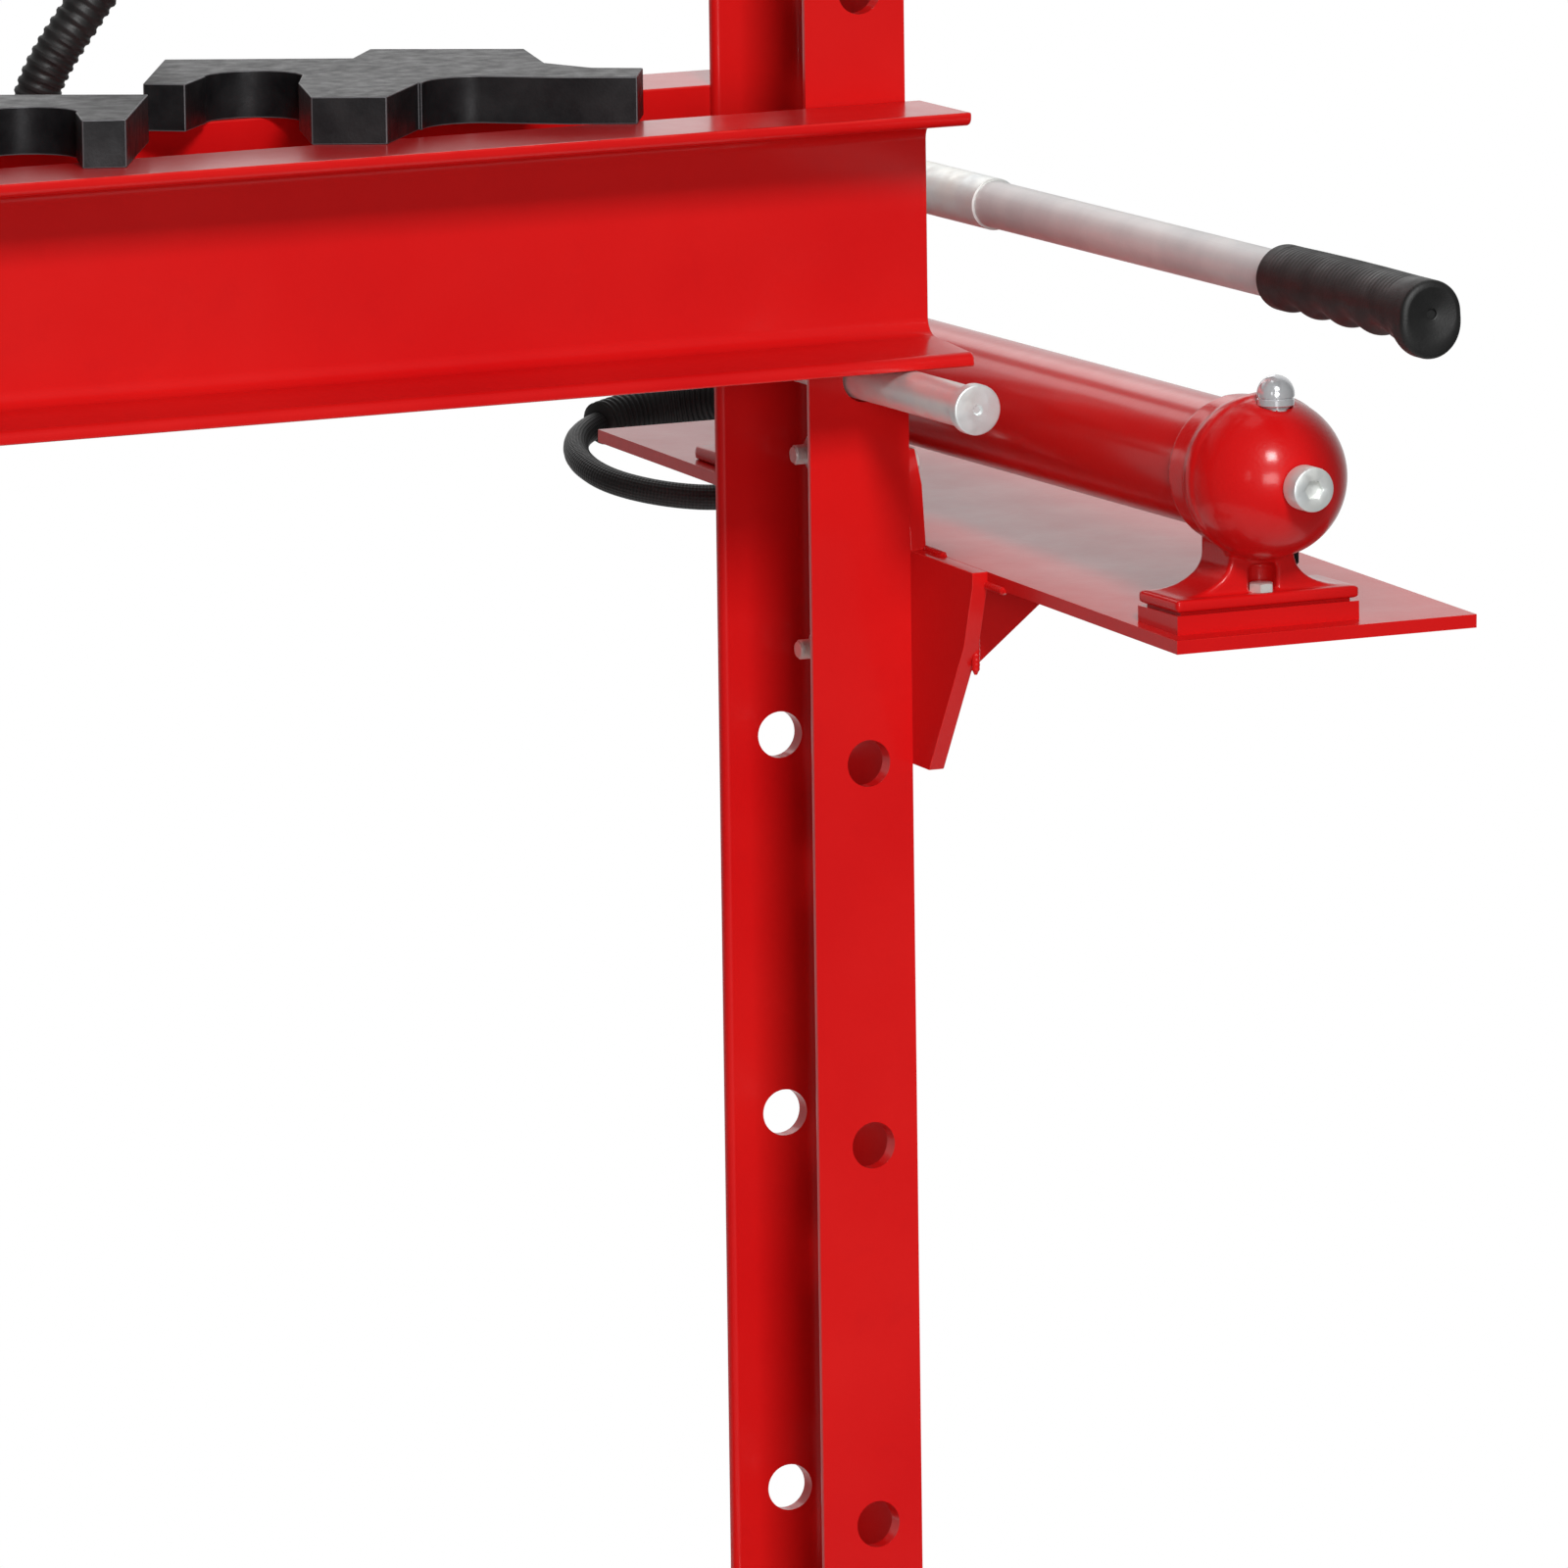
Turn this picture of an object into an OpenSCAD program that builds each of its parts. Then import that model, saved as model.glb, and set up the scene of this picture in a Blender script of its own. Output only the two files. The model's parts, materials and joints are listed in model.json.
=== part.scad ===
// Floor-standing hydraulic shop press with a side-mounted hand pump.
// Millimetres, +Z up. The origin is on the floor, under the ram's axis,
// at the centre of the four floor bolts. The front faces -Y and the pump is on the +X side.

/* [Frame] */
// Clear width between the two uprights
clear_w = 820; // [700:10:900]
// Depth of an upright's channel section, front to back
upright_depth = 130; // [120:1:140]
// Flange width of an upright's channel section
upright_flange = 65; // [60:1:70]
// Height of the uprights' top ends above the floor
upright_top = 1880; // [1870:1:1900]
// Height of the head beams
head_h = 180; // [160:1:190]
// Flange width of the head beams
head_flange = 70; // [60:1:75]

/* [Bed] */
// Height of the bed beams
bed_h = 150; // [140:1:160]
// Flange width of the bed beams
bed_flange = 68; // [60:1:72]
// Height of the lowest pin hole above the floor
first_hole_z = 300; // [290:1:310]
// Spacing of the pin holes up the uprights
hole_pitch = 230; // [220:1:230]
// Diameter of the pin holes
hole_d = 28; // [27:0.5:30]
// Diameter of the bed pins
pin_d = 25; // [22:0.5:26]
// How far a bed pin's head stands in front of the uprights
pin_proud = 150; // [120:5:170]
// Thickness of the arbor plates
plate_t = 28; // [20:1:30]

/* [Ram] */
// Outside diameter of the hydraulic cylinder
cylinder_d = 120; // [110:1:124]
// Diameter of the ram rod
rod_d = 70; // [60:1:75]
// Travel of the ram
stroke = 150; // [130:5:150]

/* [Pump] */
// Height of the pump shelf's top face above the floor, at its front edge
shelf_z = 875; // [860:1:890]
// Angle by which the shelf slopes down towards its front
shelf_fall = 1.8; // [1.5:0.1:2]
// Length of the pump shelf, front to back
shelf_len = 780; // [760:10:800]
// Width of the pump shelf
shelf_w = 195; // [190:1:200]
// Outside diameter of the pump's oil tank
tank_d = 76; // [70:1:80]
// Diameter of the ball-shaped end of the tank
ball_d = 95; // [92:1:98]
// Outside diameter of the lever tube
lever_d = 28; // [24:1:28]
// Outside diameter of the hydraulic hose
hose_d = 16; // [12:1:18]

/* [Hidden] */
$fn = 48;

// --- Colours ---
red = [0.78, 0.07, 0.08];
zinc = [0.78, 0.80, 0.80];
charcoal = [0.16, 0.17, 0.18];
black = [0.06, 0.06, 0.06];
steel = [0.62, 0.63, 0.65];

// --- Rolled channel sections: web and mean flange thickness, taper of the inner faces ---
upright_web = 7;
upright_ft = 9;
beam_web = 7.5;
bed_ft = 10.5;
head_ft = 11;
taper = 0.08;
slant = sqrt(1 + taper * taper);

// --- Frame places ---
upright_in = clear_w / 2;
upright_out = upright_in + upright_flange;
front_y = -upright_depth / 2;
pin_x = upright_in + 36;
beam_len = 2 * (upright_out + 10);
hole_count = 5;
foot_t = 8;
foot_leg = 90;
foot_rise = 75;
foot_len = 760;
floor_bolt_x = upright_in + 10;
floor_bolt_y = 340;
floor_hole_r = 9;
gusset_t = 8;
gusset_reach = 260;
gusset_top = 250;
tie_z = 160;
tie_h = 60;
tie_t = 6;
tie_leg = 45;
tie_bolt_z = tie_z + 30;
tie_bolt_x = upright_in + 30;

// --- Head and ram places ---
head_z = upright_top - 20 - head_h;
head_bolt_r = 10;
head_bolt_hole_r = 11;
head_bolt_x = upright_in + 25;
head_bolt_dz = 50;
seat_t = 25;
seat_w = 220;
seat_d = upright_depth + 2 * head_flange - 20;
seat_bolt_x = 85;
seat_bolt_y = front_y - 42;
seat_bolt_r = 8;
cylinder_r = cylinder_d / 2;
cylinder_top = upright_top - 10;
bore_r = 50;
cap_t = 30;
piston_h = 40;
gland_flange = 10;
gland_len = 24;
cylinder_bottom = cylinder_top - cap_t - piston_h - gland_len - stroke - 14;
rod_r = rod_d / 2;
rod_bore_r = 19;
rod_bottom = cylinder_bottom - gland_flange - 10;
piston_bottom = cylinder_top - cap_t - 12 - piston_h;
nose_h = 27;
nose_r = rod_r + 5;
spring_r = 13;
spring_wire = 2;
spring_turns = 16;
spring_bottom = rod_bottom + 24;
spring_top = cylinder_top - cap_t;
port_z = cylinder_top + 40;
gauge_y = -cylinder_r - 6;

// --- Bed places: the bed rests on its pins in the fourth pair of holes ---
bed_level = 3;
rest_gap = 0.3;
pin_z = first_hole_z + bed_level * hole_pitch;
bed_z = pin_z + pin_d / 2 + rest_gap;
bed_top = bed_z + bed_h;
pin_back = bed_flange + 12;
pin_head_r = 15;
pin_head_t = 8;

// --- Pump places ---
pump_x = upright_out + 77;
pump_z = shelf_z + 88;
shelf_t = 8;
shelf_x = upright_out + 10;
bracket_t = 10;
bracket_hole_r = 6.5;
rib_y = 100;
rib_t = 8;
// Bracket bolts: y and z of each
bracket_bolts_low = [[-30, shelf_z - 60], [30, shelf_z - 60]];
bracket_bolts_high = [[-33, shelf_z + 57], [33, shelf_z + 57]];
ball_y = -372;
collar_y = -335;
lip_r = ball_d / 2 + 1;
end_plug_r = 13;
end_plug_out = 13.5;
filler_y = ball_y - 14;
filler_z = pump_z + 43;
filler_r = 11;
head_y = 200;
pump_head_len = 90;
pump_head_w = 64;
pivot_y = 270;
pivot_z = pump_z + 119;
pivot_r = 8;
crank = 32;
crank_tilt = 22.5;
plunger_y = pivot_y - crank;
plunger_pin_z = pivot_z - crank * tan(crank_tilt);
plunger_r = 9;
run_gap = 0.05;
cheek_in = 11;
cheek_t = 6;
ear_in = 18;
ear_t = 8;
pad_step = 1.5;
foot_plate_t = 7.5;
foot_w = 118;
foot_d = 50;
front_foot_y = -350;
front_foot_top = pump_z - 67.5;
rear_foot_y = head_y + 45;
rear_foot_top = pump_z - 59;
foot_bolt_y = 16;
foot_bolt_r = 4;
foot_hole_r = 4.5;
spot_face_r = 9;
spot_face_h = 16;
neck_w = 42;
neck_d = 38;
flare_w = (foot_w - neck_w) / 2 - 3;
flare_h = 20;
drain_z = front_foot_top + 17;
drain_r = 5;
drain_seat = neck_w / 2 - 0.5;
socket_r = 15.5;
socket_front = -28;
socket_depth = 220;
lever_front = -575;
grip_back = -397;
grip_front = -578;
grip_r = 20;

// The hose's two ends, and its route between them: from the pump's outlet down in a loop,
// behind the bed and up to the cylinder's port
hose_start = [572, 340, 944];
hose_end = [0, 92, 1910];
hose_route = [
    [572, 352, 944], [578, 378, 936], [594, 402, 924], [618, 422, 912], [638, 446, 905],
    [646, 476, 899], [638, 508, 893], [616, 532, 888], [586, 542, 884], [554, 536, 879],
    [530, 516, 873], [518, 486, 865], [522, 454, 857], [542, 426, 851], [572, 408, 848],
    [606, 402, 850], [638, 406, 866], [660, 420, 894], [668, 440, 930], [660, 466, 966],
    [634, 488, 1000], [592, 492, 1032], [530, 470, 1056], [450, 430, 1070], [360, 384, 1078],
    [184, 296, 1070], [118, 266, 1064], [66, 244, 1080], [40, 230, 1118], [44, 218, 1162],
    [70, 210, 1206], [106, 204, 1254], [138, 202, 1314], [150, 204, 1400], [136, 206, 1520],
    [102, 208, 1650], [54, 206, 1776], [18, 192, 1846], [2, 158, 1890], [0, 112, 1910]];

// --- Functions ---
function arc(c, r, a0, a1, n = 6) =
    [for (i = [0 : n]) let (a = a0 + (a1 - a0) * i / n) [c[0] + r * cos(a), c[1] + r * sin(a)]];

// Lower half of a rolled channel: web's outer face on x = 0, flange towards +x
function half_channel(b, tw, tf) =
    let (root = tf, tip = tf / 2, at_root = tw + root, at_tip = b - tip,
         face_root = tf + taper * (b / 2 - at_root), face_tip = tf + taper * (b / 2 - at_tip))
    concat([[0, 0], [b, 0]],
        arc([at_tip, face_tip - tip * slant], tip, 0, 90 - atan(taper)),
        arc([at_root, face_root + root * slant], root, 270 - atan(taper), 180));

function channel_outline(h, b, tw, tf) =
    let (low = half_channel(b, tw, tf), n = len(low))
    concat(low, [for (i = [n - 1 : -1 : 0]) [low[i][0], h - low[i][1]]]);

// Points along a smooth curve through the route's points
function spline(p, steps) = concat(
    [for (i = [0 : len(p) - 2], k = [0 : steps - 1])
        let (a = p[max(i - 1, 0)], b = p[i], c = p[i + 1], d = p[min(i + 2, len(p) - 1)], t = k / steps)
        0.5 * (2 * b + (c - a) * t + (2 * a - 5 * b + 4 * c - d) * t * t
            + (3 * b - a - 3 * c + d) * t * t * t)],
    [p[len(p) - 1]]);

function unit(v) = v / norm(v);
function path_dir(p, i) = unit(p[min(i + 1, len(p) - 1)] - p[max(i - 1, 0)]);
function ring_side(dir) = abs(dir[0]) < 0.95 ? unit(cross(dir, [1, 0, 0])) : unit(cross(dir, [0, 0, 1]));
function carried(side, dir) = unit(side - (side * dir) * dir);
function sides(p, i, side, out = []) =
    i == len(p) ? out :
    let (s = carried(side, path_dir(p, i))) sides(p, i + 1, s, concat(out, [s]));

// --- Shared shapes ---
module tube_along(p, r, n) {
    side = sides(p, 0, ring_side(path_dir(p, 0)));
    last = len(p) - 1;
    points = [for (i = [0 : last], k = [0 : n - 1])
        let (d = path_dir(p, i), u = side[i], v = cross(d, u), a = 360 * k / n)
        p[i] + r * (cos(a) * u + sin(a) * v)];
    walls = [for (i = [0 : last - 1], k = [0 : n - 1])
        [i * n + k, (i + 1) * n + k, (i + 1) * n + (k + 1) % n, i * n + (k + 1) % n]];
    polyhedron(points, concat(walls,
        [[for (k = [0 : n - 1]) k]], [[for (k = [n - 1 : -1 : 0]) last * n + k]]), convexity = 10);
}

// Channel lying along X: web's outer face on y = 0, flanges towards -Y, bottom on z = 0
module beam(length, h, b, tw, tf) {
    translate([-length / 2, 0, 0])
        rotate([90, 0, 90]) mirror([1, 0]) linear_extrude(length)
            polygon(channel_outline(h, b, tw, tf));
}

module along_y(r, length) {
    rotate([-90, 0, 0]) cylinder(r = r, h = length);
}

module along_x(r, length) {
    rotate([0, 90, 0]) cylinder(r = r, h = length);
}

// Hexagon bolt along +Z: head under z = 0, shank above
module bolt(r, length) {
    translate([0, 0, -1.3 * r]) cylinder(r = 1.9 * r, h = 1.3 * r, $fn = 6);
    cylinder(r = r, h = length);
}

// Hexagon nut with its washer, standing on z = 0
module nut(r) {
    difference() {
        union() {
            cylinder(r = 2.1 * r, h = 0.3 * r);
            translate([0, 0, 0.3 * r]) cylinder(r = 1.9 * r, h = 1.5 * r, $fn = 6);
        }
        translate([0, 0, -1]) cylinder(r = r, h = 3 * r);
    }
}

module both_sides() {
    children();
    mirror([1, 0, 0]) children();
}

module front_and_back() {
    children();
    mirror([0, 1, 0]) children();
}

// --- Frame ---
module upright() {
    difference() {
        translate([upright_out, front_y, foot_t]) mirror([1, 0, 0])
            linear_extrude(upright_top - foot_t)
                polygon(channel_outline(upright_depth, upright_flange, upright_web, upright_ft));
        for (i = [0 : hole_count - 1])
            translate([pin_x, front_y - 1, first_hole_z + i * hole_pitch])
                along_y(hole_d / 2, upright_depth + 2);
        head_bolt_places() translate([0, front_y - 1, 0]) along_y(head_bolt_hole_r, upright_depth + 2);
        translate([tie_bolt_x, front_y - 1, tie_bolt_z]) along_y(6.5, upright_depth + 2);
    }
}

module bracket_holes() {
    for (place = concat(bracket_bolts_low, bracket_bolts_high))
        translate([upright_out - upright_web - 5, place[0], place[1]])
            along_x(bracket_hole_r, upright_web + bracket_t + 10);
}

module left_upright() {
    color(red) mirror([1, 0, 0]) upright();
}

module right_upright() {
    color(red) difference() {
        upright();
        bracket_holes();
    }
}

// Angle-iron foot: one leg on the floor, the other against the upright's web
module foot() {
    difference() {
        translate([upright_out + foot_t - foot_leg, -foot_len / 2, 0]) union() {
            cube([foot_leg, foot_len, foot_t]);
            translate([foot_leg - foot_t, 0, 0]) cube([foot_t, foot_len, foot_rise]);
        }
        for (y = [-floor_bolt_y, floor_bolt_y])
            translate([floor_bolt_x, y, -1]) cylinder(r = floor_hole_r, h = foot_t + 2);
    }
}

module left_foot() {
    color(red) mirror([1, 0, 0]) foot();
}

module right_foot() {
    color(red) foot();
}

module foot_gussets() {
    front_and_back()
        translate([upright_out - gusset_t, 0, 0]) rotate([90, 0, 90]) linear_extrude(gusset_t)
            polygon([[-front_y, foot_t], [-front_y + gusset_reach, foot_t],
                [-front_y + gusset_reach, foot_t + 25], [-front_y + 25, gusset_top],
                [-front_y, gusset_top]]);
}

module left_foot_gussets() {
    color(red) mirror([1, 0, 0]) foot_gussets();
}

module right_foot_gussets() {
    color(red) foot_gussets();
}

module lower_tie() {
    difference() {
        translate([-upright_out + gusset_t, front_y - tie_t, tie_z]) union() {
            cube([2 * (upright_out - gusset_t), tie_t, tie_h]);
            translate([0, tie_t - tie_leg, tie_h - tie_t])
                cube([2 * (upright_out - gusset_t), tie_leg, tie_t]);
        }
        for (s = [-1, 1]) translate([s * tie_bolt_x, front_y - tie_t - 1, tie_bolt_z])
            along_y(6.5, tie_t + 2);
    }
}

module lower_tie_front() {
    color(red) lower_tie();
}

module lower_tie_rear() {
    color(red) mirror([0, 1, 0]) lower_tie();
}

module tie_bolts() {
    color(zinc) both_sides() front_and_back()
        translate([tie_bolt_x, front_y - tie_t, tie_bolt_z]) rotate([-90, 0, 0]) {
            bolt(6, tie_t + upright_ft + 12);
            translate([0, 0, tie_t + upright_ft + 1]) nut(6);
        }
}

// --- Head ---
module head_bolt_places() {
    for (dz = [-head_bolt_dz, head_bolt_dz])
        translate([head_bolt_x, 0, head_z + head_h / 2 + dz]) children();
}

module head_beam() {
    difference() {
        translate([0, front_y, head_z]) beam(beam_len, head_h, head_flange, beam_web, head_ft);
        both_sides() head_bolt_places() translate([0, front_y - beam_web - 1, 0])
            along_y(head_bolt_hole_r, beam_web + 2);
        for (x = [-seat_bolt_x, seat_bolt_x])
            translate([x, seat_bolt_y, head_z - 1]) cylinder(r = seat_bolt_r + 0.5, h = head_ft + 6);
    }
}

module head_beam_front() {
    color(red) head_beam();
}

module head_beam_rear() {
    color(red) mirror([0, 1, 0]) head_beam();
}

module head_bolts() {
    color(zinc) both_sides() front_and_back() head_bolt_places()
        translate([0, front_y - beam_web, 0]) rotate([-90, 0, 0])
            bolt(head_bolt_r, beam_web + upright_ft + 24);
}

module head_nuts() {
    color(zinc) both_sides() front_and_back() head_bolt_places()
        translate([0, front_y + upright_ft + 1.6, 0]) rotate([-90, 0, 0]) nut(head_bolt_r);
}

module seat_plate() {
    color(red) difference() {
        translate([-seat_w / 2, -seat_d / 2, head_z - seat_t]) cube([seat_w, seat_d, seat_t]);
        translate([0, 0, head_z - seat_t - 1]) cylinder(r = cylinder_r + 0.2, h = seat_t + 2);
        for (x = [-seat_bolt_x, seat_bolt_x], y = [-seat_bolt_y, seat_bolt_y])
            translate([x, y, head_z - seat_t - 1]) cylinder(r = seat_bolt_r + 0.5, h = seat_t + 2);
    }
}

module seat_plate_bolts() {
    color(zinc) for (x = [-seat_bolt_x, seat_bolt_x], y = [-seat_bolt_y, seat_bolt_y])
        translate([x, y, head_z - seat_t]) {
            bolt(seat_bolt_r, seat_t + head_ft + 22);
            translate([0, 0, seat_t + head_ft + 1]) nut(seat_bolt_r);
        }
}

// --- Hydraulic cylinder and ram ---
module cylinder_tube() {
    color(charcoal) difference() {
        translate([0, 0, cylinder_bottom])
            cylinder(r = cylinder_r, h = cylinder_top - cap_t - cylinder_bottom, $fn = 96);
        translate([0, 0, cylinder_bottom - 1])
            cylinder(r = bore_r, h = cylinder_top - cylinder_bottom, $fn = 96);
    }
}

// Screwed cap: port in the middle of its top, eye for the return spring underneath
module cylinder_cap() {
    color(charcoal) difference() {
        union() {
            translate([0, 0, cylinder_top - cap_t]) cylinder(r = cylinder_r, h = cap_t - 6, $fn = 96);
            translate([0, 0, cylinder_top - 6]) cylinder(r1 = cylinder_r, r2 = cylinder_r - 6, h = 6, $fn = 96);
        }
        translate([0, 0, cylinder_top - cap_t - 1]) cylinder(r = 7, h = cap_t + 2);
        for (a = [45 : 90 : 315]) rotate(a) translate([42, 0, cylinder_top - 10]) cylinder(r = 5, h = 12);
    }
}

module cylinder_gland() {
    color(steel) difference() {
        union() {
            translate([0, 0, cylinder_bottom - gland_flange])
                cylinder(r = cylinder_r - 2, h = gland_flange, $fn = 96);
            translate([0, 0, cylinder_bottom]) cylinder(r = bore_r, h = gland_len, $fn = 96);
        }
        translate([0, 0, cylinder_bottom - gland_flange - 1])
            cylinder(r = rod_r + run_gap, h = gland_len + gland_flange + 2, $fn = 96);
    }
}

module cylinder_lock_ring() {
    color(charcoal) difference() {
        translate([0, 0, head_z - seat_t - 24]) cylinder(r = cylinder_r + 18, h = 24, $fn = 96);
        translate([0, 0, head_z - seat_t - 25]) cylinder(r = cylinder_r, h = 26, $fn = 96);
        for (a = [0 : 60 : 300]) rotate(a)
            translate([cylinder_r + 15, -5, head_z - seat_t - 25]) cube([10, 10, 26]);
    }
}

module ram_rod() {
    color(steel) difference() {
        translate([0, 0, rod_bottom]) cylinder(r = rod_r, h = piston_bottom - rod_bottom, $fn = 96);
        translate([0, 0, spring_bottom - 4]) cylinder(r = rod_bore_r, h = piston_bottom);
        translate([0, 0, rod_bottom - 1]) cylinder(r = 10, h = 17);
    }
}

module ram_piston() {
    color(steel) translate([0, 0, piston_bottom]) difference() {
        cylinder(r = bore_r - run_gap, h = piston_h, $fn = 96);
        translate([0, 0, -1]) cylinder(r = rod_bore_r, h = piston_h + 2);
        translate([0, 0, 14]) difference() {
            cylinder(r = bore_r + 1, h = 10);
            cylinder(r = bore_r - 6, h = 10);
        }
    }
}

module piston_seal() {
    color(black) translate([0, 0, piston_bottom + 14]) difference() {
        cylinder(r = bore_r - run_gap, h = 10, $fn = 96);
        translate([0, 0, -1]) cylinder(r = bore_r - 6, h = 12);
    }
}

// Pressing nose, screwed into the rod's end by its spigot
module ram_nose() {
    color(steel) union() {
        translate([0, 0, rod_bottom - nose_h + 4]) cylinder(r = nose_r, h = nose_h - 4, $fn = 96);
        translate([0, 0, rod_bottom - nose_h]) cylinder(r1 = nose_r - 4, r2 = nose_r, h = 4, $fn = 96);
        translate([0, 0, rod_bottom]) cylinder(r = 10, h = 15);
    }
}

module return_spring() {
    n = 8;
    steps = spring_turns * 12;
    rise = spring_top - spring_bottom - 2 * spring_wire;
    color(steel) tube_along([for (i = [0 : steps])
        [spring_r * cos(30 * i), spring_r * sin(30 * i), spring_bottom + spring_wire + rise * i / steps]],
        spring_wire, n);
}

// Port block on the cap: hose connection at the back, gauge connection in front
module port_elbow() {
    color(zinc) difference() {
        union() {
            translate([-15, -15, cylinder_top + 10]) cube([30, 30, port_z - cylinder_top + 5]);
            translate([0, 0, cylinder_top]) cylinder(r = 15, h = 10, $fn = 6);
            translate([0, 15, port_z]) along_y(10, 22);
        }
        translate([0, 0, cylinder_top - 1]) cylinder(r = 4, h = port_z - cylinder_top);
        translate([0, -20, port_z]) along_y(4, 60);
    }
}

module gauge_tee() {
    color(zinc) {
        translate([0, gauge_y + 14, port_z]) along_y(7, -gauge_y - 29);
        translate([0, gauge_y, port_z]) rotate([-90, 0, 0]) cylinder(r = 11, h = 14, $fn = 6);
    }
}

module gauge_case() {
    color(black) translate([0, gauge_y, port_z]) rotate([90, 0, 0]) difference() {
        union() {
            cylinder(r = 46, h = 26, $fn = 64);
            translate([0, 0, 26]) cylinder(r = 50, h = 8, $fn = 64);
        }
        translate([0, 0, 6]) cylinder(r = 43, h = 40, $fn = 64);
    }
}

module gauge_dial() {
    color("white") translate([0, gauge_y - 6, port_z]) rotate([90, 0, 0]) difference() {
        cylinder(r = 43, h = 2, $fn = 64);
        translate([0, 0, -1]) cylinder(r = 3.05, h = 4);
    }
}

module gauge_needle() {
    color(black) translate([0, gauge_y - 6, port_z]) rotate([90, 0, 0]) {
        translate([0, 0, 0.3]) cylinder(r = 3, h = 7.2);
        translate([0, 0, 4]) cylinder(r = 5, h = 3);
        rotate(225) translate([-10, -1.2, 4.5]) cube([44, 2.4, 1.5]);
    }
}

module gauge_glass() {
    color([0.8, 0.9, 0.95, 0.35]) translate([0, gauge_y, port_z]) rotate([90, 0, 0])
        translate([0, 0, 28]) cylinder(r = 43, h = 3, $fn = 64);
}

// --- Hose ---
module hose_fitting(length) {
    cylinder(r = 12, h = 16, $fn = 6);
    translate([0, 0, 16]) cylinder(r = hose_d / 2 + 2.5, h = length - 16);
}

module hose_end_cylinder() {
    color(zinc) translate([0, 37, port_z]) rotate([-90, 0, 0]) hose_fitting(hose_end[1] - 37);
}

module hose_end_pump() {
    color(zinc) translate([hose_start[0], head_y + pump_head_len, hose_start[2]])
        rotate([-90, 0, 0]) hose_fitting(hose_start[1] - head_y - pump_head_len);
}

module hose() {
    color(black) tube_along(concat([hose_start], spline(hose_route, 2), [hose_end]), hose_d / 2, 12);
}

// --- Bed ---
module bed_beam() {
    translate([0, front_y - rest_gap, bed_z]) beam(beam_len, bed_h, bed_flange, beam_web, bed_ft);
}

module bed_beam_front() {
    color(red) bed_beam();
}

module bed_beam_rear() {
    color(red) mirror([0, 1, 0]) bed_beam();
}

// Cross plates welded between the two beams, just inside the uprights
module bed_spacer() {
    translate([upright_in - 30, front_y - rest_gap, bed_z + 10])
        cube([12, upright_depth + 2 * rest_gap, bed_h - 30]);
}

module bed_spacer_left() {
    color(red) mirror([1, 0, 0]) bed_spacer();
}

module bed_spacer_right() {
    color(red) bed_spacer();
}

module bed_pin() {
    translate([pin_x, front_y - pin_proud, pin_z]) {
        along_y(pin_d / 2, pin_proud + upright_depth + pin_back - 2);
        along_y(pin_head_r, pin_head_t);
        translate([0, pin_proud + upright_depth + pin_back - 2, 0])
            rotate([-90, 0, 0]) cylinder(r1 = pin_d / 2, r2 = pin_d / 2 - 2, h = 2);
    }
}

module bed_pin_left() {
    color(zinc) mirror([1, 0, 0]) bed_pin();
}

module bed_pin_right() {
    color(zinc) bed_pin();
}

// Cross-shaped plate with work notches of several widths between its arms
module arbor_outline() {
    polygon(concat(
        [[-145, -60], [-120, -64], [-112, -26]], arc([-84, -30], 30, 170, 20, 8),
        [[-54, -60], [-40, -126], [4, -126], [16, -60]], arc([50, -62], 32, 180, 90, 6),
        [[100, -38], [142, -38], [142, 4], [112, 6], [82, 30], [64, 98], [-28, 100],
         [-34, 56], [-145, 54]]));
}

module arbor_plate_left() {
    color(charcoal) translate([-136, 22, bed_top]) rotate(150) mirror([0, 1, 0])
        linear_extrude(plate_t) arbor_outline();
}

module arbor_plate_right() {
    color(charcoal) translate([190, 24, bed_top]) rotate(-30) linear_extrude(plate_t) arbor_outline();
}

// --- Pump shelf ---
// The shelf's own frame: its origin is on the top face, at the middle of the front edge's line
module on_shelf() {
    translate([0, -shelf_len / 2, shelf_z]) rotate([shelf_fall, 0, 0]) children();
}

// Everything below the plane of the shelf's top face, along the shelf
module below_shelf() {
    on_shelf() translate([shelf_x - 1, -5, -60]) cube([shelf_w + 2, shelf_len + 10, 60]);
}

function shelf_top(y) = shelf_z + (y + shelf_len / 2) * tan(shelf_fall);

module pump_shelf() {
    color(red) difference() {
        on_shelf() translate([shelf_x, 0, -shelf_t]) cube([shelf_w, shelf_len, shelf_t]);
        foot_bolt_places() cylinder(r = foot_hole_r, h = 100, center = true);
    }
}

// Plate bolted to the upright's web: its foot tapers down, its ear stands above the shelf,
// and two ribs brace the shelf's underside
module shelf_bracket() {
    color(red) difference() {
        on_shelf() translate([0, shelf_len / 2, 0]) {
            translate([upright_out, 0, 0]) rotate([90, 0, 90]) linear_extrude(bracket_t)
                polygon([[-90, -128], [90, -128], [136, -46], [147, -shelf_t], [147, 0], [66, 0],
                    [60, 38], [50, 58], [-50, 58], [-60, 38], [-66, 0], [-147, 0],
                    [-147, -shelf_t], [-136, -46]]);
            for (y = [-rib_y, rib_y]) translate([shelf_x, y + rib_t / 2, -shelf_t])
                rotate([90, 0, 0]) linear_extrude(rib_t) polygon([[0, -68], [85, 0], [0, 0]]);
        }
        bracket_holes();
    }
}

module bracket_bolts() {
    color(zinc) for (place = concat(bracket_bolts_low, bracket_bolts_high))
        translate([shelf_x, place[0], place[1]]) rotate([0, -90, 0]) {
            bolt(6, bracket_t + upright_web + 22);
            translate([0, 0, bracket_t + upright_web]) nut(6);
        }
}

// --- Hand pump ---
// Each foot has a bolt in front of its neck and one behind it
module foot_bolts_at(y, top) {
    for (side = [-1, 1]) translate([pump_x, y + side * foot_bolt_y, top]) children();
}

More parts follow.
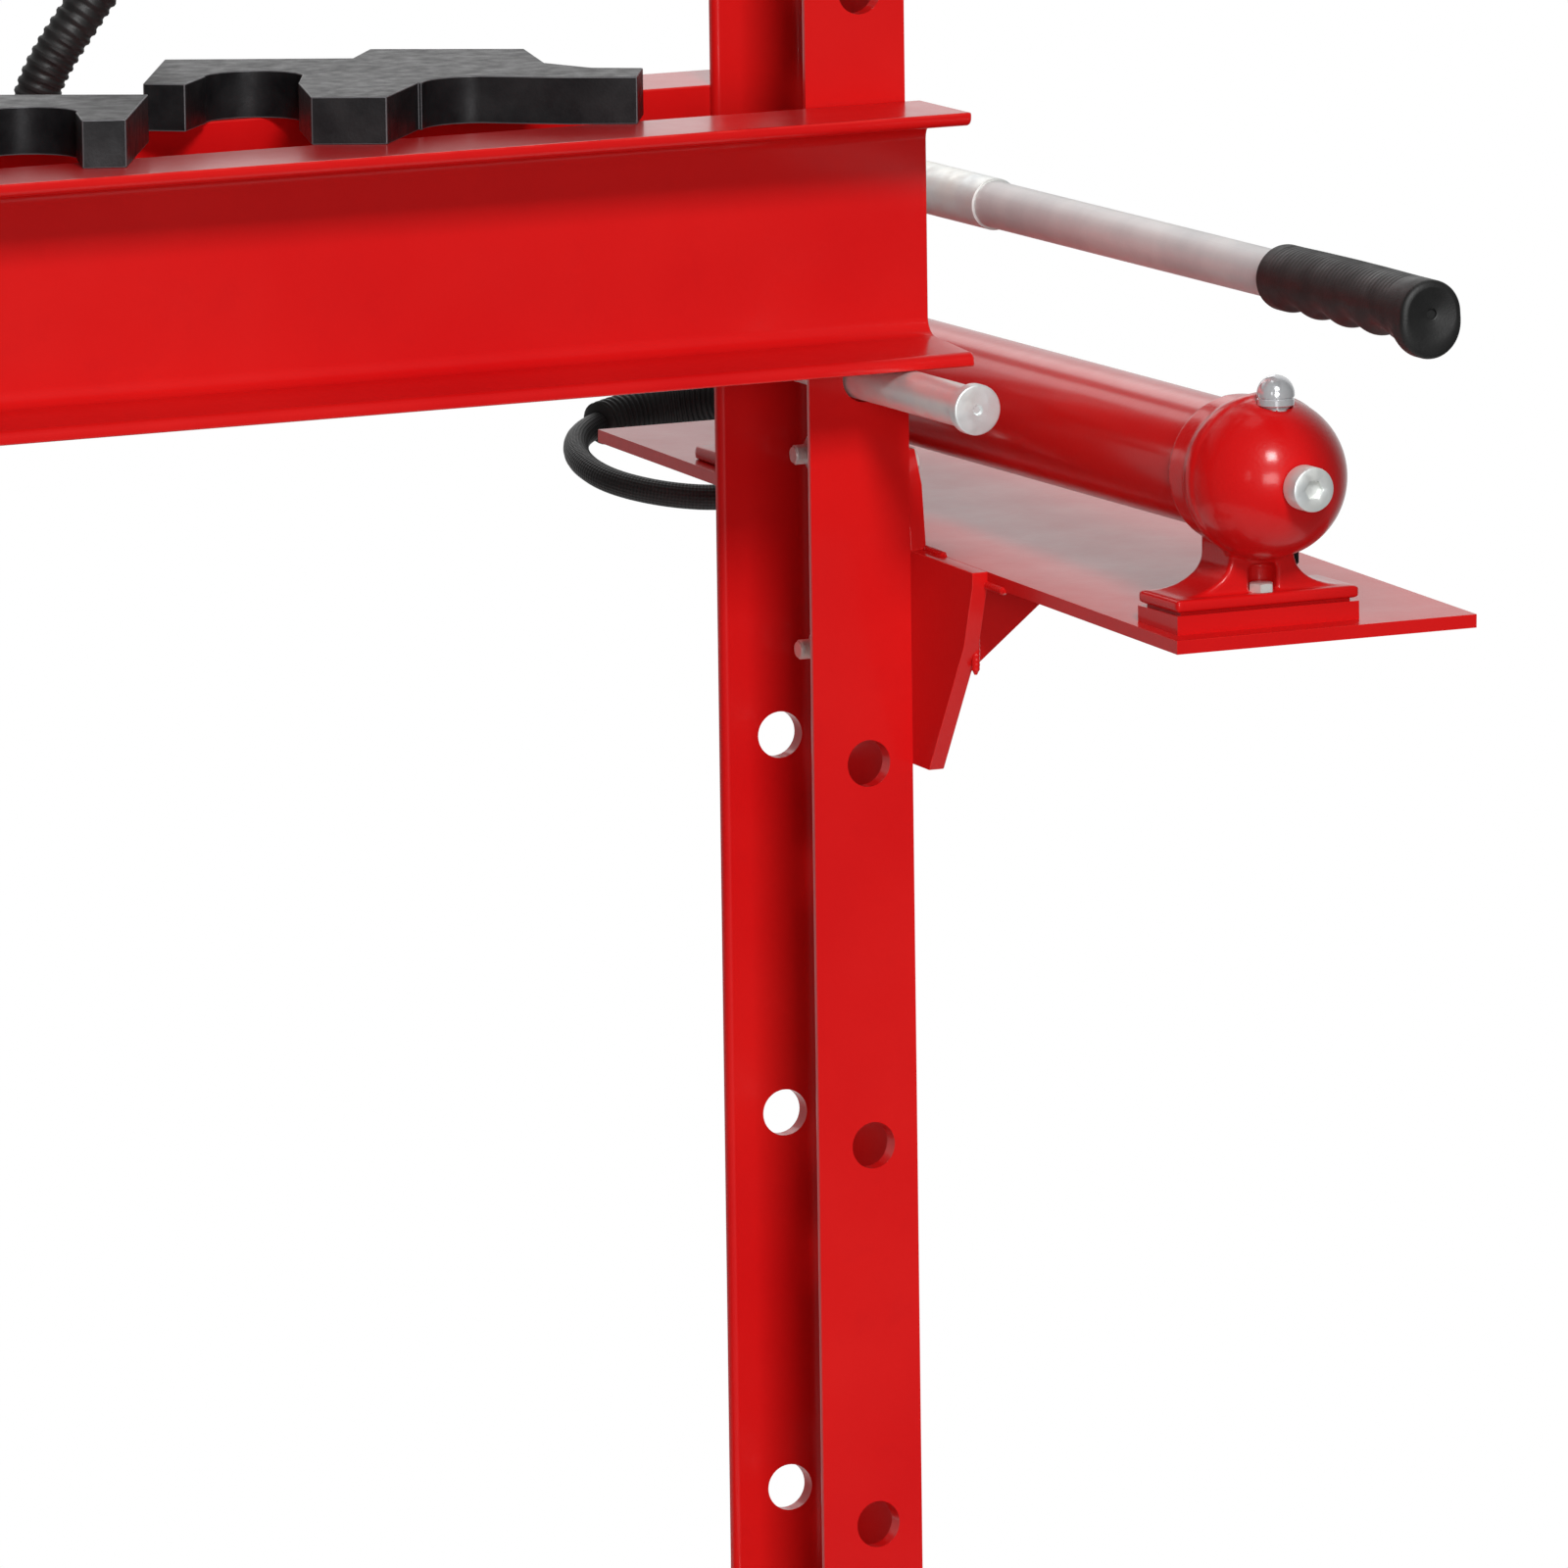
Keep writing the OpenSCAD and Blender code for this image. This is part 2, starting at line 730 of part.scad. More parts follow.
module foot_bolt_places() {
    foot_bolts_at(front_foot_y, front_foot_top) children();
    foot_bolts_at(rear_foot_y, rear_foot_top) children();
}

// Right half of a foot's neck, from the middle outwards: straight above, flared at its base
function half_neck(rise) = concat([[0, rise], [neck_w / 2, rise]],
    [for (i = [8 : -1 : 0]) let (a = 90 * i / 8)
        [neck_w / 2 + flare_w * (1 - sin(a)), flare_h * (1 - cos(a))]], [[0, 0]]);

// Cast foot: base plate and flared neck up to the body, with a spot face under each bolt head
module pump_foot(y, base, top, neck_top) {
    difference() {
        union() {
            translate([pump_x - foot_w / 2, y - foot_d / 2, base]) cube([foot_w, foot_d, top - base]);
            for (side = [0, 1]) translate([pump_x, y, top]) mirror([side, 0, 0])
                translate([0, neck_d / 2, 0]) rotate([90, 0, 0]) linear_extrude(neck_d)
                    polygon(half_neck(neck_top - top));
        }
        below_shelf();
        foot_bolts_at(y, top) {
            translate([0, 0, -40]) cylinder(r = foot_hole_r, h = 41);
            cylinder(r = spot_face_r, h = spot_face_h);
        }
    }
}

module pump_tank() {
    color(red) translate([pump_x, collar_y, pump_z]) difference() {
        along_y(tank_d / 2, head_y - collar_y);
        translate([0, -1, 0]) along_y(tank_d / 2 - 4, head_y - collar_y + 2);
    }
}

module pump_end_cap() {
    color(red) difference() {
        union() {
            translate([pump_x, ball_y, pump_z]) sphere(r = ball_d / 2, $fn = 96);
            translate([pump_x, ball_y, pump_z]) along_y(ball_d / 2 - 3.5, collar_y - ball_y);
            translate([pump_x, ball_y, pump_z]) along_y(lip_r, 8);
            pump_foot(front_foot_y, front_foot_top - foot_plate_t, front_foot_top, pump_z - 20);
        }
        translate([pump_x, ball_y - ball_d / 2 - 1, pump_z]) along_y(10, 20);
        translate([pump_x, filler_y, filler_z - 14]) cylinder(r = 8.3, h = 20);
        translate([pump_x, filler_y, filler_z]) cylinder(r = filler_r + 0.4, h = 20);
        translate([pump_x, ball_y, pump_z]) along_y(tank_d / 2 - 8, collar_y - ball_y + 1);
        translate([pump_x, collar_y, pump_z]) along_y(tank_d / 2, 20);
        translate([pump_x, front_foot_y, drain_z]) along_x(drain_r, neck_w);
        translate([pump_x + drain_seat, front_foot_y, drain_z]) along_x(spot_face_r, neck_w);
    }
}

module end_plug() {
    color(zinc) translate([pump_x, ball_y - ball_d / 2, pump_z]) {
        translate([0, -end_plug_out, 0]) along_y(end_plug_r, end_plug_out + 1);
        along_y(10, 18);
    }
}

// Hexagon plug in the right side of the front foot's neck
module drain_plug() {
    color(black) translate([pump_x, front_foot_y, drain_z]) {
        translate([drain_seat - 14, 0, 0]) along_x(drain_r, 14);
        translate([drain_seat, 0, 0]) rotate([0, 90, 0]) cylinder(r = 1.6 * drain_r, h = 9, $fn = 6);
    }
}

module filler_plug() {
    color(zinc) translate([pump_x, filler_y, filler_z]) {
        translate([0, 0, -12]) cylinder(r = 8, h = 12);
        cylinder(r = filler_r, h = 7);
        translate([0, 0, 7]) intersection() {
            sphere(r = filler_r);
            cylinder(r = filler_r + 1, h = filler_r + 1);
        }
    }
}

// Rear block: plunger bore, lever ears, outlet at the back and release valve on the right
module pump_head() {
    color(red) difference() {
        union() {
            translate([pump_x - pump_head_w / 2, head_y, pump_z - 42])
                cube([pump_head_w, pump_head_len, 84]);
            for (s = [-1, 1]) translate([pump_x + s * (ear_in + ear_t / 2) - ear_t / 2, 0, 0])
                rotate([90, 0, 90]) linear_extrude(ear_t)
                    polygon(concat([[pivot_y - 24, pump_z + 40], [pivot_y + 20, pump_z + 40]],
                        arc([pivot_y, pivot_z], 16, 0, 180, 10)));
            pump_foot(rear_foot_y, shelf_z, rear_foot_top, pump_z - 30);
        }
        translate([pump_x, plunger_y, pump_z - 20]) cylinder(r = plunger_r + run_gap, h = 70);
        translate([pump_x - 60, pivot_y, pivot_z]) along_x(pivot_r, 120);
        translate([pump_x + pump_head_w / 2 - 20, head_y + 50, pump_z]) along_x(6.3, 30);
    }
}

module plunger_gland() {
    color(steel) translate([pump_x, plunger_y, pump_z + 42]) difference() {
        cylinder(r = 16, h = 14, $fn = 6);
        translate([0, 0, -1]) cylinder(r = plunger_r + run_gap, h = 16);
    }
}

module pump_plunger() {
    color(steel) difference() {
        translate([pump_x, plunger_y, pump_z - 16]) cylinder(r = plunger_r, h = plunger_pin_z - pump_z + 25);
        translate([pump_x - 12, plunger_y, plunger_pin_z]) along_x(5, 24);
    }
}

module plunger_pin() {
    color(zinc) translate([pump_x - cheek_in - cheek_t, plunger_y, plunger_pin_z])
        along_x(5, 2 * (cheek_in + cheek_t));
}

module lever_pivot_pin() {
    color(zinc) translate([pump_x, pivot_y, pivot_z]) {
        translate([-ear_in - ear_t, 0, 0]) along_x(pivot_r, 2 * (ear_in + ear_t) + 6);
        translate([-ear_in - ear_t - 5, 0, 0]) along_x(12, 5);
        translate([ear_in + ear_t, 0, 0]) along_x(11, 3);
    }
}

module release_knob() {
    color(black) translate([pump_x + pump_head_w / 2, head_y + 50, pump_z]) {
        translate([-18, 0, 0]) along_x(6, 30);
        difference() {
            translate([12, 0, 0]) along_x(16, 22);
            for (a = [0 : 45 : 315]) rotate([a, 0, 0]) translate([10, 0, 18]) along_x(4, 26);
        }
    }
}

// Wedge that levels the front foot on the sloping shelf, with a narrow step at its top
// that shows as a dark gap. The rear foot stands on the shelf itself.
module pump_riser_pad() {
    top = front_foot_top - foot_plate_t;
    color(red) translate([pump_x, front_foot_y, 0]) difference() {
        union() {
            translate([-foot_w / 2, -foot_d / 2, shelf_z]) cube([foot_w, foot_d, top - pad_step - shelf_z]);
            translate([4 - foot_w / 2, 4 - foot_d / 2, shelf_z])
                cube([foot_w - 8, foot_d - 8, top - shelf_z]);
        }
        translate([-pump_x, -front_foot_y, 0]) below_shelf();
        for (side = [-1, 1])
            translate([0, side * foot_bolt_y, shelf_z - 1]) cylinder(r = foot_hole_r, h = 40);
    }
}

// Screwed into the shelf
module pump_foot_bolts() {
    color(zinc) for (foot = [[front_foot_y, front_foot_top], [rear_foot_y, rear_foot_top]])
        foot_bolts_at(foot[0], foot[1]) rotate([180, 0, 0])
            bolt(foot_bolt_r, foot[1] - shelf_top(foot[0]) + shelf_t);
}

// --- Lever ---
// Two cheeks on the pivot pin, with slots for the plunger's pin, and the lever's socket
module lever_yoke() {
    cheek_front = plunger_y - 34;
    color(zinc) difference() {
        union() {
            for (s = [-1, 1]) translate([pump_x + s * (cheek_in + cheek_t / 2) - cheek_t / 2, 0, 0])
                rotate([90, 0, 90]) linear_extrude(cheek_t)
                    polygon(concat([[cheek_front, pivot_z - 17], [plunger_y - 12, pivot_z - 26],
                        [plunger_y + 12, pivot_z - 26]], arc([pivot_y, pivot_z], 16, -80, 90, 8),
                        [[cheek_front, pivot_z + 17]]));
            translate([pump_x - cheek_in, cheek_front, pivot_z - 17])
                cube([2 * cheek_in, 18, 34]);
            translate([pump_x, socket_front, pivot_z]) along_y(socket_r, cheek_front - socket_front);
        }
        translate([pump_x, socket_front - 1, pivot_z]) along_y(lever_d / 2, socket_depth + 1);
        translate([pump_x - 40, pivot_y, pivot_z]) along_x(pivot_r + run_gap, 80);
        translate([pump_x - 40, pivot_y, pivot_z]) rotate([crank_tilt, 0, 0]) {
            for (dy = [-crank - 3.2, -crank + 1.2]) translate([0, dy, 0]) along_x(5.6, 80);
            translate([0, -crank - 3.2, -5.6]) cube([80, 4.4, 11.2]);
        }
    }
}

module lever_tube() {
    color(zinc) difference() {
        translate([pump_x, lever_front, pivot_z])
            along_y(lever_d / 2, socket_front + socket_depth - lever_front);
        translate([pump_x, lever_front - 1, pivot_z])
            along_y(lever_d / 2 - 2.5, socket_front + socket_depth - lever_front + 2);
    }
}

module lever_grip() {
    color(black) difference() {
        translate([pump_x, grip_front, pivot_z]) along_y(grip_r, grip_back - grip_front);
        translate([pump_x, lever_front, pivot_z]) along_y(lever_d / 2, grip_back - lever_front + 1);
    }
}

left_upright();
right_upright();
left_foot();
right_foot();
left_foot_gussets();
right_foot_gussets();
lower_tie_front();
lower_tie_rear();
tie_bolts();
head_beam_front();
head_beam_rear();
head_bolts();
head_nuts();
seat_plate();
seat_plate_bolts();
cylinder_tube();
cylinder_cap();
cylinder_gland();
cylinder_lock_ring();
ram_rod();
ram_piston();
piston_seal();
ram_nose();
return_spring();
port_elbow();
gauge_tee();
gauge_case();
gauge_dial();
gauge_needle();
gauge_glass();
hose_end_cylinder();
hose();
hose_end_pump();
bed_beam_front();
bed_beam_rear();
bed_spacer_left();
bed_spacer_right();
bed_pin_left();
bed_pin_right();
arbor_plate_left();
arbor_plate_right();
pump_shelf();
shelf_bracket();
bracket_bolts();
pump_tank();
pump_end_cap();
end_plug();
drain_plug();
filler_plug();
pump_head();
plunger_gland();
pump_plunger();
plunger_pin();
lever_pivot_pin();
release_knob();
pump_riser_pad();
pump_foot_bolts();
lever_yoke();
lever_tube();
lever_grip();
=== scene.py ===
"""Looks of a floor-standing hydraulic shop press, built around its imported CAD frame."""

import json
import math

import bmesh
import bpy
from mathutils import Matrix, Vector

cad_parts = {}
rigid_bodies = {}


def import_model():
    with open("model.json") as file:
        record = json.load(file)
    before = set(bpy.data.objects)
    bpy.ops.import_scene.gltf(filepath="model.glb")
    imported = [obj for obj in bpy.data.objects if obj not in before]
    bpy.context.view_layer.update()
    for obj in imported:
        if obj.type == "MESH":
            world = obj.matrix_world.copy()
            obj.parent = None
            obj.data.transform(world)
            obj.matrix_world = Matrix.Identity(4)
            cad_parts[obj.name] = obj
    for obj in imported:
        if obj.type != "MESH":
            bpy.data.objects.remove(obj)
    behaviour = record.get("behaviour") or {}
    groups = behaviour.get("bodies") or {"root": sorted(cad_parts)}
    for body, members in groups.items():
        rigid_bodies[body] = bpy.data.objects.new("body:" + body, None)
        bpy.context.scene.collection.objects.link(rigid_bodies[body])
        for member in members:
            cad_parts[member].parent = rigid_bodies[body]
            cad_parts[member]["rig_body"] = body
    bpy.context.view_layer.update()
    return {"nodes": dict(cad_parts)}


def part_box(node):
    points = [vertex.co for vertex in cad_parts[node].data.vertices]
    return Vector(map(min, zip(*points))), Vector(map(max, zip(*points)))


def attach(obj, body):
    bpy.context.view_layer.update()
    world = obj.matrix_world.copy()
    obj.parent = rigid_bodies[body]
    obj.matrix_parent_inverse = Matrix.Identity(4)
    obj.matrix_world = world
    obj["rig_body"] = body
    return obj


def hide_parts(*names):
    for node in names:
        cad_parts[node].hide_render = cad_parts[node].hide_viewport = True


MM = 0.001
X, Y, Z = Vector((1, 0, 0)), Vector((0, 1, 0)), Vector((0, 0, 1))

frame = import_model()
nodes = frame["nodes"]


# --- Camera: long lens from the front left, a little above the bed ---
CAMERA_PLACE = Vector((-3.6887, -8.5311, 2.3416))
CAMERA_AIM = Vector((0.3900, -0.0650, 0.7525))
CAMERA_ROLL = math.radians(-0.77)
CAMERA_LENS = 370.7
SENSOR = 36
CLIP_END = 200


def make_camera():
    data = bpy.data.cameras.new("camera")
    data.lens = CAMERA_LENS
    data.sensor_width = SENSOR
    data.clip_end = CLIP_END
    back = (CAMERA_PLACE - CAMERA_AIM).normalized()
    level = Z.cross(back).normalized()
    above = back.cross(level)
    right = math.cos(CAMERA_ROLL) * level + math.sin(CAMERA_ROLL) * above
    up = back.cross(right)
    camera = bpy.data.objects.new("camera", data)
    camera.matrix_world = Matrix.Translation(CAMERA_PLACE) @ Matrix((right, up, back)).transposed().to_4x4()
    bpy.context.scene.collection.objects.link(camera)
    bpy.context.scene.camera = camera


make_camera()


# --- Mesh helpers ---
CREASE = math.radians(35)
# Turned solids stop this far from their axis, and a small flat cap closes them
AXIS_RADIUS = 0.0005


def new_piece(name, points, faces, smooth=True, uvs=None):
    """A mesh object; uvs has one pair for each corner of each face"""
    mesh = bpy.data.meshes.new(name)
    mesh.from_pydata([tuple(p) for p in points], [], faces)
    if uvs:
        layer = mesh.uv_layers.new(name="UVMap")
        for loop, uv in zip(layer.data, uvs):
            loop.uv = uv
    mesh.validate()
    if smooth:
        mesh.shade_smooth()
        mesh.set_sharp_from_angle(angle=CREASE)
    piece = bpy.data.objects.new(name, mesh)
    bpy.context.scene.collection.objects.link(piece)
    return piece


def frame_along(direction):
    """Rotation that turns +Z into direction"""
    return direction.to_track_quat("Z", "Y").to_matrix()


def ring_faces(rows, count):
    """Quads between rows of count points, and then a cap for the first row and one for the last"""
    faces = []
    for row in range(rows - 1):
        a, b = row * count, (row + 1) * count
        faces += [(a + k, a + (k + 1) % count, b + (k + 1) % count, b + k) for k in range(count)]
    faces.append(tuple(range(count - 1, -1, -1)))
    faces.append(tuple((rows - 1) * count + k for k in range(count)))
    return faces


def on_circle(radius, k, sides, height=0.0):
    """Corner k of a polygon round Z"""
    angle = 2 * math.pi * k / sides
    return Vector((radius * math.cos(angle), radius * math.sin(angle), height))


def lathe(profile, sides):
    """Points and faces of a solid turned round Z; profile is (radius, height) pairs from bottom to top"""
    points = [on_circle(radius, k, sides, height) for radius, height in profile for k in range(sides)]
    return points, ring_faces(len(profile), sides)


def joined(solids):
    """One list of points and one of faces from several (points, faces) pairs"""
    points, faces = [], []
    for more_points, more_faces in solids:
        faces += [tuple(i + len(points) for i in face) for face in more_faces]
        points += more_points
    return points, faces


def placed(solid, place, direction):
    """The solid moved to place, with its Z turned into direction"""
    points, faces = solid
    turn = frame_along(direction)
    return [turn @ p + place for p in points], faces


def smooth_path(points, steps):
    """Catmull-Rom curve through the points"""
    path = []
    last = len(points) - 1
    for i in range(last):
        a, b, c, d = points[max(i - 1, 0)], points[i], points[i + 1], points[min(i + 2, last)]
        for k in range(steps):
            t = k / steps
            path.append(0.5 * (2 * b + (c - a) * t + (2 * a - 5 * b + 4 * c - d) * t * t
                               + (3 * b - a - 3 * c + d) * t * t * t))
    return path + [points[last]]


def tube_points(path, radii, sides):
    """Rings round a path, one for each of its points, that follow it without twisting"""
    points = []
    side = None
    for i, place in enumerate(path):
        ahead = (path[min(i + 1, len(path) - 1)] - path[max(i - 1, 0)]).normalized()
        if side is None:
            side = ahead.cross(X if abs(ahead.x) < 0.9 else Z)
        side = (side - side.dot(ahead) * ahead).normalized()
        over = ahead.cross(side)
        points += [place + radii[i] * (math.cos(2 * math.pi * k / sides) * side
                                       + math.sin(2 * math.pi * k / sides) * over) for k in range(sides)]
    return points


# --- Hose: the route that the CAD model's hose follows ---
HOSE_DIAMETER = 0.016
HOSE_START = Vector((0.572, 0.340, 0.944))
HOSE_END = Vector((0.000, 0.092, 1.910))
HOSE_ROUTE = [Vector(p) * MM for p in (
    (572, 352, 944), (578, 378, 936), (594, 402, 924), (618, 422, 912), (638, 446, 905),
    (646, 476, 899), (638, 508, 893), (616, 532, 888), (586, 542, 884), (554, 536, 879),
    (530, 516, 873), (518, 486, 865), (522, 454, 857), (542, 426, 851), (572, 408, 848),
    (606, 402, 850), (638, 406, 866), (660, 420, 894), (668, 440, 930), (660, 466, 966),
    (634, 488, 1000), (592, 492, 1032), (530, 470, 1056), (450, 430, 1070), (360, 384, 1078),
    (184, 296, 1070), (118, 266, 1064), (66, 244, 1080), (40, 230, 1118), (44, 218, 1162),
    (70, 210, 1206), (106, 204, 1254), (138, 202, 1314), (150, 204, 1400), (136, 206, 1520),
    (102, 208, 1650), (54, 206, 1776), (18, 192, 1846), (2, 158, 1890), (0, 112, 1910))]
HOSE_SIDES = 20
HOSE_STEPS = 8
# Each guard runs from one route point to another, counted from 0
SLEEVES = (("loop_guard", 3, 9), ("hose_guard", 27, 32))
SLEEVE_RADIUS = 0.0138
SLEEVE_RIB = 0.0012
SLEEVE_SIDES = 28
SLEEVE_STEPS = 4


def make_hose():
    """The hose, whose UVs run once round it and along it in metres, and its guards"""
    path = [HOSE_START] + smooth_path(HOSE_ROUTE, HOSE_STEPS) + [HOSE_END]
    travelled = [0.0]
    for a, b in zip(path, path[1:]):
        travelled.append(travelled[-1] + (b - a).length)
    points = tube_points(path, [HOSE_DIAMETER / 2] * len(path), HOSE_SIDES)
    faces = ring_faces(len(path), HOSE_SIDES)
    uvs = []
    for face in faces[:-2]:
        ks = (face[0] % HOSE_SIDES, face[0] % HOSE_SIDES + 1)
        rows = (face[0] // HOSE_SIDES, face[3] // HOSE_SIDES)
        uvs += [(ks[0] / HOSE_SIDES, travelled[rows[0]]), (ks[1] / HOSE_SIDES, travelled[rows[0]]),
                (ks[1] / HOSE_SIDES, travelled[rows[1]]), (ks[0] / HOSE_SIDES, travelled[rows[1]])]
    uvs += [(0, 0)] * (2 * HOSE_SIDES)
    hose = new_piece("pressure_hose", points, faces, uvs=uvs)
    hose.data.materials.append(LOOKS["hose_rubber"])
    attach(hose, "frame")
    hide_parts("hose")
    sleeves = [make_sleeve(name, path[1 + first * HOSE_STEPS:2 + last * HOSE_STEPS])
               for name, first, last in SLEEVES]


def make_sleeve(name, path):
    """Ribbed rubber guard over a stretch of the hose"""
    fine = smooth_path(path, SLEEVE_STEPS)
    radii = [SLEEVE_RADIUS - (SLEEVE_RIB if i % 4 < 2 else 0.0) for i in range(len(fine))]
    # Both ends taper down to the hose
    radii[0] = radii[-1] = HOSE_DIAMETER / 2 + 0.0008
    radii[1] = radii[-2] = SLEEVE_RADIUS - 0.002
    sleeve = new_piece(name, tube_points(fine, radii, SLEEVE_SIDES), ring_faces(len(fine), SLEEVE_SIDES))
    sleeve.data.materials.append(LOOKS["grip_rubber"])
    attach(sleeve, "frame")
    return sleeve


# --- Studio: plain white background, a pale round floor and soft lights, most of them in front ---
WORLD_BRIGHT = 0.80
WORLD_DIM = 0.14
WORLD_TOWARDS = (0.30, 0.90, 0.30)
WORLD_RAMP = ((0.42, WORLD_DIM), (0.85, WORLD_BRIGHT))
# Name, place, aim, width and height, power in watts
LIGHTS = (
    ("key_light", (-1.2, -6.4, 5.6), (0.45, 0.0, 0.95), (1.6, 1.6), 430),
    ("fill_light", (-5.4, -5.2, 2.2), (0.4, 0.0, 0.9), (0.9, 1.6), 12),
    ("front_light", (-1.9, -7.4, 1.7), (0.4, 0.0, 0.9), (2.6, 1.8), 190),
    ("top_light", (0.4, 0.8, 5.2), (0.4, 0.0, 0.9), (2.4, 2.4), 16),
    ("back_light", (1.2, 3.8, 3.0), (0.3, 0.0, 1.0), (2.6, 1.4), 12),
)
FLOOR_RADIUS = 1.3
FLOOR_SIDES = 128


def make_world():
    """Light that grows brighter behind and above the object, while the camera itself sees plain white"""
    world = bpy.data.worlds.new("studio")
    world.use_nodes = True
    tree = world.node_tree
    background = tree.nodes["Background"]
    way = tree.nodes.new("ShaderNodeTexCoord").outputs["Generated"]
    behind = tree.nodes.new("ShaderNodeVectorMath")
    behind.operation = "DOT_PRODUCT"
    behind.inputs[1].default_value = WORLD_TOWARDS
    tree.links.new(way, behind.inputs[0])
    ramp = tree.nodes.new("ShaderNodeValToRGB")
    for element, (at, level) in zip(ramp.color_ramp.elements, WORLD_RAMP):
        element.position = at
        element.color = (level, level, level, 1)
    tree.links.new(behind.outputs["Value"], ramp.inputs[0])
    seen = tree.nodes.new("ShaderNodeMix")
    seen.data_type = "RGBA"
    seen.inputs[MIX_SECOND].default_value = (1, 1, 1, 1)
    tree.links.new(tree.nodes.new("ShaderNodeLightPath").outputs["Is Camera Ray"], seen.inputs[0])
    tree.links.new(ramp.outputs[0], seen.inputs[MIX_FIRST])
    tree.links.new(seen.outputs[MIX_RESULT], background.inputs["Color"])
    bpy.context.scene.world = world
    bpy.context.scene.view_settings.view_transform = "Standard"


def make_lights():
    for name, place, aim, size, power in LIGHTS:
        data = bpy.data.lights.new(name, "AREA")
        data.shape = "RECTANGLE"
        data.size, data.size_y = size
        data.energy = power
        light = bpy.data.objects.new(name, data)
        light.matrix_world = (Matrix.Translation(place)
                              @ frame_along(Vector(place) - Vector(aim)).to_4x4())
        bpy.context.scene.collection.objects.link(light)


def make_floor():
    rim = [on_circle(FLOOR_RADIUS, k, FLOOR_SIDES) for k in range(FLOOR_SIDES)]
    floor = new_piece("studio_floor", rim, [tuple(range(FLOOR_SIDES))], smooth=False)
    floor.data.materials.append(floor_paint())


# --- Materials: lengths are in metres, and colours are linear ---
# A Mix node's sockets for its two colours and for their blend
MIX_FIRST, MIX_SECOND, MIX_RESULT = 6, 7, 2


class Surface:
    """A material and its node tree. Constants go on the shader's own sockets."""

    def __init__(self, name, **constants):
        self.material = bpy.data.materials.new(name)
        self.material.use_nodes = True
        self.tree = self.material.node_tree
        self.shader = self.tree.nodes["Principled BSDF"]
        for socket, value in constants.items():
            self.shader.inputs[socket.replace("_", " ")].default_value = value
        self.place = self.node("ShaderNodeTexCoord").outputs["Object"]

    def node(self, kind, feeds=None, **settings):
        node = self.tree.nodes.new(kind)
        for key, value in settings.items():
            setattr(node, key, value)
        for socket, value in (feeds or {}).items():
            self.feed(node.inputs[socket], value)
        return node

    def feed(self, socket, value):
        if isinstance(value, bpy.types.NodeSocket):
            self.tree.links.new(value, socket)
        else:
            socket.default_value = value

    def noise(self, scale, detail, roughness, stretch=None):
        """Noise whose blotches are about 1 / scale metres across; stretch scales each axis"""
        place = self.place
        if stretch:
            place = self.node("ShaderNodeMapping", {"Vector": place, "Scale": stretch}).outputs[0]
        return self.node("ShaderNodeTexNoise", {
            "Vector": place, "Scale": scale, "Detail": detail, "Roughness": roughness}).outputs["Fac"]

    def spread(self, value, low, high, to_low=0.0, to_high=1.0):
        """Moves the range low to high onto to_low to to_high, and clamps it"""
        return self.node("ShaderNodeMapRange", {
            "Value": value, "From Min": low, "From Max": high,
            "To Min": to_low, "To Max": to_high}).outputs["Result"]

    def math(self, operation, a, b=0.0):
        return self.node("ShaderNodeMath", {0: a, 1: b}, operation=operation).outputs[0]

    def mix(self, amount, first, second):
        """Blend of two colours, each a socket or three numbers"""
        node = self.node("ShaderNodeMix", data_type="RGBA")
        self.feed(node.inputs[0], amount)
        for index, colour in ((MIX_FIRST, first), (MIX_SECOND, second)):
            is_socket = isinstance(colour, bpy.types.NodeSocket)
            self.feed(node.inputs[index], colour if is_socket else (*colour, 1))
        return node.outputs[MIX_RESULT]

    def bump(self, height, distance, under=None):
        feeds = {"Height": height, "Distance": distance, "Strength": 1.0}
        if under:
            feeds["Normal"] = under
        return self.node("ShaderNodeBump", feeds).outputs[0]

    def edges(self):
        """1 on the rounded edges that softened() makes, and 0 elsewhere"""
        return self.node("ShaderNodeAttribute", attribute_name="edge").outputs["Fac"]

    def set(self, colour, roughness, normal=None):
        self.feed(self.shader.inputs["Base Color"], colour)
        self.feed(self.shader.inputs["Roughness"], roughness)
        if normal is not None:
            self.feed(self.shader.inputs["Normal"], normal)
        return self.material


def red_paint(name, casting=False):
    """Gloss enamel with orange peel, thin and lighter on the edges (worn paint and a painted highlight), and
    over a sand casting's skin where asked
    """
    s = Surface(name, Coat_Weight=0.8, Coat_Roughness=0.16, Coat_IOR=1.3, IOR=1.2)
    blotches = s.spread(s.noise(4.5, 3, 0.55), 0.3, 0.7)
    colour = s.mix(blotches, (0.56, 0.004, 0.005), (0.63, 0.009, 0.008))
    handled = s.spread(s.noise(34, 4, 0.6), 0.58, 0.78, 0, 0.16)
    colour = s.mix(handled, colour, (0.46, 0.004, 0.007))
    # Edges lighter red: partly paint worn thin there, partly a painted highlight of the edges
    thin_paint_and_highlight = s.math("MULTIPLY", s.edges(), s.spread(s.noise(70, 3, 0.6), 0.35, 0.65, 0.1, 0.6))
    colour = s.mix(thin_paint_and_highlight, colour, (0.72, 0.03, 0.025))
    chips = s.math("MULTIPLY", s.edges(), s.spread(s.noise(210, 3, 0.7), 0.70, 0.73))
    colour = s.mix(chips, colour, (0.10, 0.03, 0.03))
    roughness = s.spread(s.noise(16, 4, 0.6), 0.3, 0.7, 0.30, 0.42)
    normal = s.bump(s.noise(260, 2, 0.5), 0.00006)
    if casting:
        normal = s.bump(s.noise(420, 3, 0.6), 0.00016, normal)
    return s.set(colour, roughness, s.bump(s.noise(28, 2, 0.5), 0.00008, normal))


